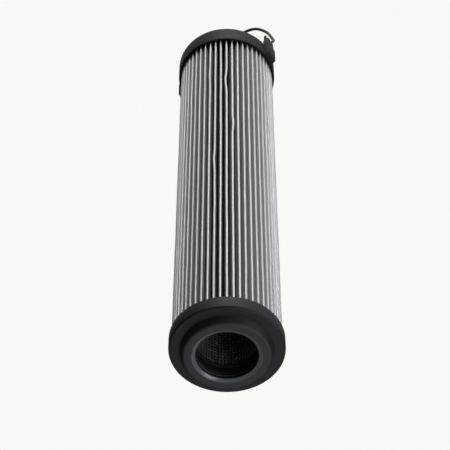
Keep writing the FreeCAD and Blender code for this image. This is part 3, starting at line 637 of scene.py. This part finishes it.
def traced(name, points, close=False):
    """A line of points, drawn by extruding one point from place to place."""
    bpy.ops.object.select_all(action="DESELECT")
    bpy.ops.mesh.primitive_plane_add(size=MM, location=points[0])
    piece = start_piece(name)
    bpy.ops.mesh.merge(type="CENTER")
    bpy.ops.mesh.select_mode(type="VERT")
    bpy.ops.mesh.select_all(action="SELECT")
    for start, end in zip(points, points[1:]):
        step = Vector(end) - Vector(start)
        bpy.ops.mesh.extrude_vertices_move(TRANSFORM_OT_translate={"value": step})
    if close:
        bpy.ops.mesh.select_all(action="SELECT")
        bpy.ops.mesh.edge_face_add()
    return piece


def wire_along(name, points, radius, roundness=4):
    """A round wire along points, with closed ends."""
    piece = traced(name, points)
    bpy.ops.object.mode_set(mode="OBJECT")
    take(piece)
    bpy.ops.object.convert(target="CURVE")
    piece = bpy.context.active_object
    piece.data.dimensions = "3D"
    piece.data.bevel_depth = radius
    piece.data.bevel_resolution = roundness
    piece.data.use_fill_caps = True
    bpy.ops.object.convert(target="MESH")
    piece = bpy.context.active_object
    bpy.ops.object.mode_set(mode="EDIT")
    close_mesh()
    smooth(piece, limit=50)
    return piece


def rounded_corners(corners, bends, steps=8):
    """Straight runs through corners, with an arc of a given radius at each bend."""
    points = [corners[0]]
    for number, radius in enumerate(bends, start=1):
        corner = corners[number]
        back = (corners[number - 1] - corner).normalized()
        onward = (corners[number + 1] - corner).normalized()
        half = back.angle(onward) / 2
        centre = corner + (back + onward).normalized() * (radius / math.sin(half))
        first = corner + back * (radius / math.tan(half)) - centre
        last = corner + onward * (radius / math.tan(half)) - centre
        for step in range(steps + 1):
            points.append(centre + first.slerp(last, step / steps).normalized() * radius)
    points.append(corners[-1])
    return points


def dress(piece, material, body, slot, *nodes):
    """Finish a piece: material, body and the nodes that it stands for. The slot is not used."""
    piece.data.materials.clear()
    piece.data.materials.append(material)
    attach(piece, body)
    if nodes:
        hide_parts(*nodes)


def repaint(material, *nodes):
    """A better material in every slot of CAD nodes that keep their own mesh."""
    for name in nodes:
        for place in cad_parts[name].material_slots:
            place.material = material


class FILTER_OT_open_cap(bpy.types.Operator):
    """Turn the open cap: neck, flange, skirt, hub and seal groove"""
    bl_idname = "filter_element.open_cap"
    bl_label = "Open end cap"

    def execute(self, context):
        sizes = context.scene.cap_sizes
        rim = reach_of("open_end_cap")
        skirt_top = top_of("open_end_cap")
        face = sizes.bore + sizes.ring_width
        base = face + sizes.neck_taper
        slope = sizes.ring_edge / sizes.neck_rise
        trough = sizes.neck_rise + sizes.flange_thick
        inside = rim - sizes.skirt_wall
        hub = sizes.bore + sizes.hub_wall
        land = foot_of("core_tube")
        groove = sizes.bore + sizes.groove_depth
        cap = turned("open_cap_moulding", [
            (sizes.bore + sizes.mouth, 0.0),
            (face - sizes.ring_edge, 0.0),
            (face + sizes.neck_taper * slope, sizes.ring_edge),
            (base, sizes.neck_rise),
            (rim - sizes.rim_edge, sizes.neck_rise),
            (rim, sizes.neck_rise + sizes.rim_edge),
            (rim, skirt_top),
            (inside, skirt_top),
            (inside, trough),
            (hub, trough),
            (hub, land),
            (sizes.bore, land),
            (sizes.bore, sizes.groove_high),
            (groove, sizes.groove_high),
            (groove, sizes.groove_low),
            (sizes.bore, sizes.groove_low),
            (sizes.bore, sizes.mouth_rise),
        ], sizes.sides)
        soften(cap, sizes.softness)
        dress(cap, moulded_plastic(context.scene.finishes), "element", "black_moulding",
              "open_end_cap")
        return {"FINISHED"}


class FILTER_OT_neck_seal(bpy.types.Operator):
    """Turn the rounded ring that seals the neck bore"""
    bl_idname = "filter_element.neck_seal"
    bl_label = "Neck seal ring"

    def execute(self, context):
        sizes = context.scene.cap_sizes
        low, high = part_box("neck_seal_ring")
        middle = (low.z + high.z) / 2
        half = (high.z - low.z) / 2
        centre = sizes.bore + sizes.groove_depth / 2
        steps = 16
        squareness = 0.7
        outline = []
        for step in range(steps):
            turn = 2 * math.pi * step / steps
            squeeze = math.copysign(abs(math.cos(turn)) ** squareness, math.cos(turn)) / 2
            outline.append((centre + squeeze * sizes.groove_depth, middle + half * math.sin(turn)))
        seal = turned("neck_seal_rubber", outline, sizes.sides)
        smooth(seal, limit=60)
        dress(seal, rubber(context.scene.finishes), "element", "black_rubber", "neck_seal_ring")
        return {"FINISHED"}


def lug_outline(sizes):
    """Front view of a lug: sideways places and heights over the cap's face."""
    half = sizes.width / 2
    fork = sizes.fork_width / 2
    notch = sizes.notch_width / 2
    notch_foot = sizes.fork_top - sizes.notch_depth
    right = [
        (half, -sizes.drop),
        (half, sizes.straight),
        (fork, sizes.fork_foot),
        (fork, sizes.fork_top - 2 * sizes.fork_edge),
        (fork - sizes.fork_edge, sizes.fork_top),
        (notch, sizes.fork_top),
        (notch, notch_foot + sizes.notch_edge),
        (notch - sizes.notch_edge, notch_foot),
    ]
    return right + [(-across, height) for across, height in reversed(right)]


def along_line(value, corners):
    """The place on a line of corners at a value, and the end's place beyond its ends."""
    for (low, first), (high, second) in zip(corners, corners[1:]):
        if value <= high:
            part = max(0.0, (value - low) / (high - low))
            return first + (second - first) * part
    return corners[-1][1]


def forked_lug(sizes, rim_edge, face):
    """One lug: its front view traced, thickened, shaped to its side view and drilled.

    The side view is given as heights over the cap's face and distances from the axis.
    """
    outline = [(sizes.inside, across, face + height) for across, height in lug_outline(sizes)]
    lug = traced("forked_lug", outline, close=True)
    bpy.ops.mesh.select_mode(type="FACE")
    bpy.ops.mesh.select_all(action="SELECT")
    depth = sizes.outside - sizes.inside
    bpy.ops.mesh.extrude_region_move(TRANSFORM_OT_translate={"value": (depth, 0, 0)})
    back = [
        (-2 * rim_edge, sizes.root),
        (-rim_edge, sizes.inside),
        (sizes.fork_top, sizes.inside),
    ]
    front = [
        (-sizes.drop, sizes.foot_outside - sizes.toe),
        (2 * sizes.toe - sizes.drop, sizes.foot_outside),
        (0.0, sizes.foot_outside),
        (sizes.foot_slope, sizes.outside),
        (sizes.blade_top, sizes.outside),
        (sizes.fork_foot, sizes.fork_outside),
        (sizes.fork_top, sizes.fork_outside),
    ]
    for level, _ in front[1:-1] + back[:2]:
        bpy.ops.mesh.select_all(action="SELECT")
        bpy.ops.mesh.bisect(plane_co=(0, 0, face + level), plane_no=(0, 0, 1))
    bpy.ops.object.mode_set(mode="OBJECT")
    middle = (sizes.inside + sizes.outside) / 2
    for vertex in lug.data.vertices:
        profile = back if vertex.co.x < middle else front
        vertex.co.x = along_line(vertex.co.z - face, profile)
    bpy.ops.object.mode_set(mode="EDIT")
    close_mesh()
    bpy.ops.object.select_all(action="DESELECT")
    drill_sides = 48
    drill_length = 4 * depth
    bpy.ops.mesh.primitive_cylinder_add(
        vertices=drill_sides, radius=sizes.eye, depth=drill_length,
        location=(middle, 0, face + sizes.pivot), rotation=(0, math.pi / 2, 0))
    drill = bpy.context.active_object
    apply_modifier(lug, "BOOLEAN", operation="DIFFERENCE", solver="EXACT", object=drill)
    take(drill)
    bpy.ops.object.delete()
    return lug


def turn_about_axis(piece, turn):
    """Turn a piece about the element's axis, in its mesh."""
    take(piece)
    piece.rotation_euler.z = turn
    bpy.ops.object.transform_apply(location=True, rotation=True, scale=True)


class FILTER_OT_handle_cap(bpy.types.Operator):
    """Turn the handle cap and set its two lugs"""
    bl_idname = "filter_element.handle_cap"
    bl_label = "Handle end cap"

    def execute(self, context):
        sizes = context.scene.cap_sizes
        lugs = context.scene.lug_sizes
        rim = reach_of("open_end_cap")
        face = handle_face(sizes)
        foot = face - sizes.handle_skirt
        under = face - sizes.disc_thick
        inside = rim - sizes.skirt_wall
        collar_bore = sizes.collar_outside - sizes.collar_wall
        seat = sizes.port + sizes.seat_width
        cap = turned("handle_cap_moulding", [
            (sizes.port + sizes.port_edge, face),
            (rim - sizes.rim_edge, face),
            (rim, face - sizes.rim_edge),
            (rim, foot),
            (inside, foot),
            (inside, under),
            (sizes.collar_outside, under),
            (sizes.collar_outside, under - sizes.collar_length),
            (collar_bore, under - sizes.collar_length),
            (collar_bore, under),
            (seat, under),
            (seat, under - sizes.seat_rise),
            (sizes.port, under - sizes.seat_rise),
            (sizes.port, face - sizes.port_edge),
        ], sizes.sides)
        soften(cap, sizes.softness)
        first = forked_lug(lugs, sizes.rim_edge, face)
        soften(first, sizes.softness)
        take(first)
        bpy.ops.object.duplicate()
        second = bpy.context.active_object
        turn_about_axis(first, lugs.turn)
        turn_about_axis(second, lugs.turn + math.pi)
        take(cap)
        first.select_set(True)
        second.select_set(True)
        bpy.ops.object.join()
        dress(cap, moulded_plastic(context.scene.finishes), "element", "black_moulding",
              "handle_end_cap")
        return {"FINISHED"}


class FILTER_OT_bail(bpy.types.Operator):
    """Bend the wire bail between the two lugs"""
    bl_idname = "filter_element.bail"
    bl_label = "Wire bail"

    def execute(self, context):
        sizes = context.scene.lug_sizes
        pivot = handle_face(context.scene.cap_sizes) + sizes.pivot
        outward = Vector((math.cos(sizes.turn), math.sin(sizes.turn), 0))
        half = [
            (sizes.tail_end, 0.0),
            (sizes.leg, 0.0),
            (sizes.leg - sizes.knee * math.tan(sizes.lean), sizes.knee),
            (sizes.grip, sizes.height),
        ]
        flat = half + [(-across, rise) for across, rise in reversed(half)]
        corners = [outward * across + Vector((0, 0, pivot + rise)) for across, rise in flat]
        bends = [sizes.foot_bend, sizes.knee_bend, sizes.top_bend]
        line = rounded_corners(corners, bends + bends[::-1])
        bail = wire_along("wire_bail", line, sizes.wire)
        dress(bail, plated_wire(context.scene.finishes, outward, pivot), "bail", "plated_wire",
              "bail_handle")
        return {"FINISHED"}


# A fold's tip over its bend: outwards and sideways, as shares of the bend's outer radius.
TIP_FORM = ((0, -1), (0.62, -0.93), (0.96, -0.6), (0.96, 0.6), (0.62, 0.93), (0, 1))
FLANK_STEPS = 2
ROOT_STEPS = 2

# The wander of the folds up the pack: shares of its reach, and wavelengths.
WAVES = ((0.55, 260 * MM), (0.4, 90 * MM), (0.28, 36 * MM))
WAVE_SIZES = (0.6, 1.2)
WAVE_STARTS = (0, 6.3)
SEED = 52

# Kinks of a fold: how many there may be, and how far one spreads, in millimetres.
KINKS_PER_FOLD = (0, 1, 1, 2)
KINK_SPREADS = (8, 22)

# Folds that were pushed aside in handling, in millimetres.
DENTS = (
    {"fold": 39, "height": 345, "spread": 12, "push": -1.1},
    {"fold": 40, "height": 271, "spread": 9, "push": 0.8},
    {"fold": 37, "height": 216, "spread": 9, "push": -0.8},
)

# Sections up the pack: over the open cap, along the plain part, and at the handle cap.
NECK_STEPS = 4
NECK_STEP = 1.5 * MM
PLAIN_STEPS = 46
CAP_STEPS = 10

# Share of a fold's wander that the potting takes away.
POTTED = 0.6


def fold_points(sizes):
    """The sheet's outer face over one fold, from one valley to the next.

    Each point has its fold (0, or 1 for the next), its places along and across that fold's
    middle plane, and its share of the way from the valley to the tip.
    """
    half_pitch = math.pi / sizes.folds
    bend = (sizes.thickness + sizes.fold_gap) / 2
    skin = bend + sizes.thickness / 2
    tip = sizes.tip_radius - skin
    root = (sizes.core_radius + sizes.thickness / 2 - bend) / (1 - math.sin(half_pitch))
    root_bend = root * math.sin(half_pitch) - skin
    valley = root * math.cos(half_pitch)
    points = []
    for rise, side in TIP_FORM:
        points.append((0, tip + skin * rise, skin * side, 1.0))
    flank = [step / (FLANK_STEPS + 0.5) for step in range(1, FLANK_STEPS + 1)]
    for part in flank:
        points.append((0, tip + (valley - tip) * part, skin, 1 - part))
    quarter = math.pi / 2 - half_pitch
    for step in range(ROOT_STEPS):
        turn = half_pitch + math.pi + quarter - 2 * quarter * (step + 0.5) / ROOT_STEPS
        along = root * math.cos(half_pitch) + root_bend * math.cos(turn)
        across = root * math.sin(half_pitch) + root_bend * math.sin(turn)
        points.append((0, along, across, 0.0))
    for part in reversed(flank):
        points.append((1, tip + (valley - tip) * part, -skin, 1 - part))
    return points


def fold_drift(folds, chance, reach):
    """For every fold, a function of height that wanders smoothly within about a reach."""
    drifts = []
    for _ in range(folds):
        parts = [(reach * size * chance.uniform(*WAVE_SIZES), 2 * math.pi / wave,
                  chance.uniform(*WAVE_STARTS)) for size, wave in WAVES]
        drifts.append(lambda height, parts=parts: sum(
            size * math.sin(rate * height + start) for size, rate, start in parts))
    return drifts


def fold_kinks(folds, chance, reach, low, high):
    """For every fold, a function of height with the places where it is pushed to a side."""
    pushes = []
    for fold in range(folds):
        places = [(chance.uniform(low, high), chance.uniform(*KINK_SPREADS) * MM,
                   reach * chance.uniform(-1, 1)) for _ in range(chance.choice(KINKS_PER_FOLD))]
        places += [(dent["height"] * MM, dent["spread"] * MM, dent["push"] * MM)
                   for dent in DENTS if dent["fold"] == fold]
        pushes.append(lambda height, places=places: sum(
            size * math.exp(-((height - place) / spread) ** 2) for place, spread, size in places))
    return pushes


def pack_stations(low, high, taper_low, taper_high):
    """Heights at which the pack's section is set: close together where it tapers."""
    stations = [low]
    stations += [low + taper_low + NECK_STEP * step for step in range(NECK_STEPS + 1)]
    start = stations[-1]
    finish = high - taper_high
    for first, last, steps in ((start, finish, PLAIN_STEPS), (finish, high, CAP_STEPS)):
        stations += [first + (last - first) * step / steps for step in range(1, steps + 1)]
    return stations


def smooth_step(value):
    """0 below 0, 1 above 1 and a smooth slope between."""
    value = min(1.0, max(0.0, value))
    return value * value * (3 - 2 * value)


def lay_sheet_map(mesh, numbers, section, total, sizes):
    """A UV map in millimetres: along the folded sheet, and up it."""
    pitch = 2 * math.pi / sizes.folds
    flat = []
    for step, along, across, _ in section + [(1, *section[0][1:])]:
        turn = step * pitch
        flat.append(Vector((along * math.cos(turn) - across * math.sin(turn),
                            along * math.sin(turn) + across * math.cos(turn))))
    run = [0.0]
    for first, second in zip(flat, flat[1:]):
        run.append(run[-1] + (second - first).length / MM)
    layer = mesh.uv_layers.new(name="sheet")
    for face in mesh.polygons:
        own = [numbers[vertex] for vertex in face.vertices]
        wraps = max(own) - min(own) > total / 2
        for loop, number in zip(face.loop_indices, own):
            fold, place = divmod(number, len(section))
            if wraps and number == 0:
                fold = sizes.folds
            height = mesh.vertices[mesh.loops[loop].vertex_index].co.z / MM
            layer.data[loop].uv = (fold * run[-1] + run[place], height)


class FILTER_OT_pack(bpy.types.Operator):
    """Fold the pleated pack: a ring of points drawn up through its stations and shaped"""
    bl_idname = "filter_element.pack"
    bl_label = "Pleated pack"

    def execute(self, context):
        sizes = context.scene.pack_sizes
        low, high = foot_of("pleated_media_pack"), top_of("pleated_media_pack")
        caps = context.scene.cap_sizes
        rim_low = top_of("open_end_cap")
        rim_high = handle_face(caps) - caps.handle_skirt
        section = fold_points(sizes)
        total = sizes.folds * len(section)
        stations = pack_stations(low, high, rim_low - low, high - rim_high + sizes.taper_high)
        bpy.ops.object.select_all(action="DESELECT")
        bpy.ops.mesh.primitive_circle_add(vertices=total, radius=sizes.tip_radius,
                                          location=(0, 0, low))
        pack = start_piece("pleated_mesh_pack")
        bpy.ops.mesh.select_mode(type="EDGE")
        for start, end in zip(stations, stations[1:]):
            bpy.ops.mesh.extrude_edges_move(TRANSFORM_OT_translate={"value": (0, 0, end - start)})
        bpy.ops.object.mode_set(mode="OBJECT")

        chance = random.Random(SEED)
        sideways = fold_drift(sizes.folds, chance, sizes.wander)
        inwards = fold_drift(sizes.folds, chance, sizes.dip)
        kinks = fold_kinks(sizes.folds, chance, sizes.kink, low, high)
        outward = pack.data.attributes.new("outward", "FLOAT", "POINT")
        numbers = []
        for vertex in pack.data.vertices:
            turn = math.atan2(vertex.co.y, vertex.co.x) - math.pi / 2
            number = round(turn / (2 * math.pi) * total) % total
            numbers.append(number)
            fold, place = divmod(number, len(section))
            step, along, across, share_out = section[place]
            outward.data[vertex.index].value = share_out
            owner = (fold + step) % sizes.folds
            height = vertex.co.z
            near_cap = smooth_step((height - rim_high + sizes.taper_high) / sizes.taper_high)
            near_neck = smooth_step((rim_low + sizes.taper_low - height) / sizes.taper_low)
            held = max(near_cap, near_neck)
            narrow = 1 - sizes.pinch * share_out * near_cap
            along -= share_out * (abs(inwards[owner](height)) * (1 - held)
                                  + sizes.set_back * near_cap + sizes.neck_set_back * near_neck)
            push = sideways[owner](height) + kinks[owner](height)
            across = across * narrow + share_out * push * (1 - POTTED * held)
            across += (share_out - 1) * sizes.lean
            middle = 2 * math.pi * (fold + step) / sizes.folds
            vertex.co.x = along * math.cos(middle) - across * math.sin(middle)
            vertex.co.y = along * math.sin(middle) + across * math.cos(middle)

        lay_sheet_map(pack.data, numbers, section, total, sizes)
        bpy.ops.object.mode_set(mode="EDIT")
        bpy.ops.mesh.select_all(action="SELECT")
        bpy.ops.mesh.normals_make_consistent(inside=False)
        bpy.ops.object.mode_set(mode="OBJECT")
        apply_modifier(pack, "SOLIDIFY", thickness=sizes.shell, offset=-1.0)
        take(pack)
        bpy.ops.object.shade_smooth()
        dress(pack, wire_mesh(context.scene.finishes), "element", "mesh_media",
              "pleated_media_pack")
        return {"FINISHED"}


class FILTER_OT_core(bpy.types.Operator):
    """Punch a flat sheet full of holes and roll it into the core tube"""
    bl_idname = "filter_element.core"
    bl_label = "Perforated core"

    def execute(self, context):
        sizes = context.scene.pack_sizes
        low, high = foot_of("core_tube"), top_of("core_tube")
        outside = sizes.core_bore + sizes.core_wall
        columns, rows = sizes.core_columns, sizes.core_rows
        across = 2 * math.pi * outside / columns
        rise = (high - low - 2 * sizes.core_margin + sizes.core_bridge) / rows
        bpy.ops.object.select_all(action="DESELECT")
        bpy.ops.mesh.primitive_grid_add(x_subdivisions=2 * columns, y_subdivisions=2 * rows + 1,
                                        size=2)
        core = start_piece("perforated_core")
        bpy.ops.mesh.select_mode(type="FACE")
        bpy.ops.object.mode_set(mode="OBJECT")

        # The grid runs from -1 to 1, so a place on it tells its column and its row.
        for face in core.data.polygons:
            column = math.floor((face.center.x + 1) * columns)
            row = math.floor((face.center.y + 1) / 2 * (2 * rows + 1))
            face.select = column % 2 == 1 and row % 2 == 1
        for vertex in core.data.vertices:
            column = round((vertex.co.x + 1) * columns)
            row = round((vertex.co.y + 1) / 2 * (2 * rows + 1))
            height = low + sizes.core_margin + ((row - 1) // 2) * rise
            height += (rise - sizes.core_bridge) * ((row - 1) % 2)
            vertex.co.x = (column // 2) * across + sizes.core_web * (column % 2)
            vertex.co.y = low if row == 0 else high if row == 2 * rows + 1 else height
        bpy.ops.object.mode_set(mode="EDIT")
        bpy.ops.mesh.delete(type="FACE")
        bpy.ops.object.mode_set(mode="OBJECT")

        for vertex in core.data.vertices:
            turn = vertex.co.x / outside
            vertex.co = (outside * math.cos(turn), outside * math.sin(turn), vertex.co.y)
        bpy.ops.object.mode_set(mode="EDIT")
        close_mesh(merge=SEAM_GAP)
        apply_modifier(core, "SOLIDIFY", thickness=sizes.core_wall, offset=-1.0)
        smooth(core)
        dress(core, perforated_steel(context.scene.finishes, low), "element", "core_steel",
              "core_tube")
        return {"FINISHED"}


class FILTER_OT_hidden_parts(bpy.types.Operator):
    """Finish the valve, its cage and spring, the screws, the bush and the potting"""
    bl_idname = "filter_element.hidden_parts"
    bl_label = "Valve and potting"

    def execute(self, context):
        finishes = context.scene.finishes
        sizes = context.scene.valve_sizes
        low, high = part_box("bypass_poppet")
        seal_low, seal_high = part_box("poppet_seal")
        plate_low = seal_high.z - sizes.under
        spigot_low = plate_low - sizes.spigot_drop
        poppet = turned("turned_poppet", [
            (sizes.pole, high.z),
            (sizes.dome_top, high.z),
            (sizes.seal_inside, seal_high.z - sizes.seal_proud),
            (sizes.seal_inside, seal_low.z),
            (high.x, seal_low.z),
            (high.x, plate_low),
            (sizes.spigot, plate_low),
            (sizes.spigot, spigot_low),
            (sizes.stem, spigot_low),
            (sizes.stem, low.z + sizes.stem_edge),
            (sizes.stem_tip, low.z),
            (sizes.pole, low.z),
        ], sizes.sides, closed=False)
        soften(poppet, sizes.softness)
        dress(poppet, turned_metal("turned_alloy", finishes.alloy, gloss=0.25), "poppet",
              "poppet_metal", "bypass_poppet")
        repaint(turned_metal("turned_brass", finishes.brass, gloss=0.22), "stem_bush")
        repaint(drawn_wire("plated_screws", finishes.zinc), "cage_screws", "stem_clip")
        repaint(drawn_wire("spring_wire", finishes.spring), "bypass_spring")
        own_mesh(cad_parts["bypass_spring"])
        repaint(moulded_plastic(finishes), "spring_cage")
        repaint(rubber(finishes), "poppet_seal")
        repaint(cast_epoxy(finishes), "neck_potting_ring", "handle_potting_ring")
        return {"FINISHED"}


# The lamps, each named as its power is named in the stage's settings.
LAMPS = (
    {"name": "key", "place": (0.1, -1.1, 1.0), "aim": (0, 0, 0.22), "size": (0.6, 0.9),
     "tint": (1, 1, 1)},
    {"name": "ceiling", "place": (0.3, 0.0, 2.0), "aim": (0.3, 0, 0), "size": (3.0, 3.0),
     "tint": (1, 1, 1)},
    {"name": "low_fill", "place": (0.0, 0.9, -0.9), "aim": (0, 0, 0.1), "size": (1.0, 0.8),
     "tint": (1, 1, 1)},
    {"name": "cool_side", "place": (1.0, -0.65, 0.12), "aim": (0, 0, 0.12), "size": (0.5, 0.8),
     "tint": (0.80, 0.90, 1.0)},
    {"name": "lip_light", "place": (0.65, -0.2, -0.95), "aim": (0, 0, 0), "size": (0.6, 0.6),
     "tint": (0.88, 0.94, 1.0)},
)
CAMERA_PLACE = (0.0018, -0.9226, -0.9790)
CAMERA_FORWARD = (-0.00235, 0.62435, 0.78115)


def softbox(name, place, aim, size, power, tint):
    """A soft rectangular lamp that looks at a point."""
    bpy.ops.object.light_add(type="AREA", location=place)
    lamp = bpy.context.active_object
    lamp.name = name
    lamp.rotation_euler = (Vector(aim) - Vector(place)).to_track_quat("-Z", "Y").to_euler()
    lamp.data.shape = "RECTANGLE"
    lamp.data.size, lamp.data.size_y = size
    lamp.data.energy = power
    lamp.data.color = tint


class FILTER_OT_stage(bpy.types.Operator):
    """Set the floor, the studio light, the white surround and the camera"""
    bl_idname = "filter_element.stage"
    bl_label = "Stage"

    def execute(self, context):
        stage = context.scene.stage_sizes
        bpy.ops.object.select_all(action="DESELECT")
        bpy.ops.mesh.primitive_plane_add(size=stage.floor_width,
                                         location=(0, 0, -stage.floor_drop))
        floor = start_piece("stage_floor")
        bpy.ops.object.mode_set(mode="OBJECT")
        paint = Paint("pale_floor", base_color=context.scene.finishes.floor, roughness=0.8)
        rays = paint.node("ShaderNodeLightPath").output.node
        sides = paint.node("ShaderNodeNewGeometry").output.node
        seen = Socket(paint, rays.outputs["Is Camera Ray"])
        from_below = Socket(paint, sides.outputs["Backfacing"])
        clear = paint.node("ShaderNodeBsdfTransparent")
        surface = Socket(paint, paint.shader.outputs[0])
        mix = paint.node("ShaderNodeMixShader",
                         inputs={0: seen * (1 - from_below), 1: clear, 2: surface})
        paint.tree.links.new(mix.output, paint.tree.nodes["Material Output"].inputs["Surface"])
        floor.data.materials.append(paint.material)

        world = bpy.data.worlds.new("white_surround")
        world.use_nodes = True
        context.scene.world = world
        board = NodeBoard(world.node_tree)
        rays = board.node("ShaderNodeLightPath").output.node
        plain = Socket(board, rays.outputs["Is Camera Ray"])
        surround = world.node_tree.nodes["Background"]
        board.feed(surround.inputs["Color"], stage.surround)
        board.feed(surround.inputs["Strength"], plain * (1 - stage.fill) + stage.fill)

        bpy.ops.object.select_all(action="DESELECT")
        for lamp in LAMPS:
            softbox(power=getattr(stage, lamp["name"]), **lamp)

        bpy.ops.object.camera_add(location=CAMERA_PLACE)
        camera = bpy.context.active_object
        camera.name = "photo_camera"
        camera.rotation_euler = Vector(CAMERA_FORWARD).to_track_quat("-Z", "Y").to_euler()
        camera.data.lens = stage.lens
        camera.data.sensor_width = stage.sensor
        context.scene.camera = camera
        context.scene.view_settings.view_transform = "Standard"
        return {"FINISHED"}


OPERATORS = (
    FILTER_OT_open_cap,
    FILTER_OT_neck_seal,
    FILTER_OT_handle_cap,
    FILTER_OT_bail,
    FILTER_OT_pack,
    FILTER_OT_core,
    FILTER_OT_hidden_parts,
    FILTER_OT_stage,
)

SETTINGS = {
    "cap_sizes": CapSizes,
    "lug_sizes": LugSizes,
    "valve_sizes": ValveSizes,
    "pack_sizes": PackSizes,
    "stage_sizes": StageSizes,
    "finishes": Finishes,
}


class FILTER_PT_panel(bpy.types.Panel):
    """Lists the pieces in the order in which they are made, and all settings"""
    bl_idname = "FILTER_PT_panel"
    bl_label = "Filter element"
    bl_space_type = "VIEW_3D"
    bl_region_type = "UI"
    bl_category = "Filter"

    def draw(self, context):
        for operator in OPERATORS:
            self.layout.operator(operator.bl_idname)
        for name, group in SETTINGS.items():
            box = self.layout.box()
            for field in group.__annotations__:
                box.prop(getattr(context.scene, name), field)


def register():
    """Add the settings, the operators and the panel."""
    for name, group in SETTINGS.items():
        bpy.utils.register_class(group)
        setattr(bpy.types.Scene, name, bpy.props.PointerProperty(type=group))
    for cls in (*OPERATORS, FILTER_PT_panel):
        bpy.utils.register_class(cls)


def unregister():
    """Take the settings, the operators and the panel away."""
    for cls in (FILTER_PT_panel, *reversed(OPERATORS)):
        bpy.utils.unregister_class(cls)
    for name, group in SETTINGS.items():
        delattr(bpy.types.Scene, name)
        bpy.utils.unregister_class(group)


def main():
    """Make every piece and the stage."""
    register()
    for operator in OPERATORS:
        group, name = operator.bl_idname.split(".")
        getattr(getattr(bpy.ops, group), name)()


if __name__ == "__main__":
    main()
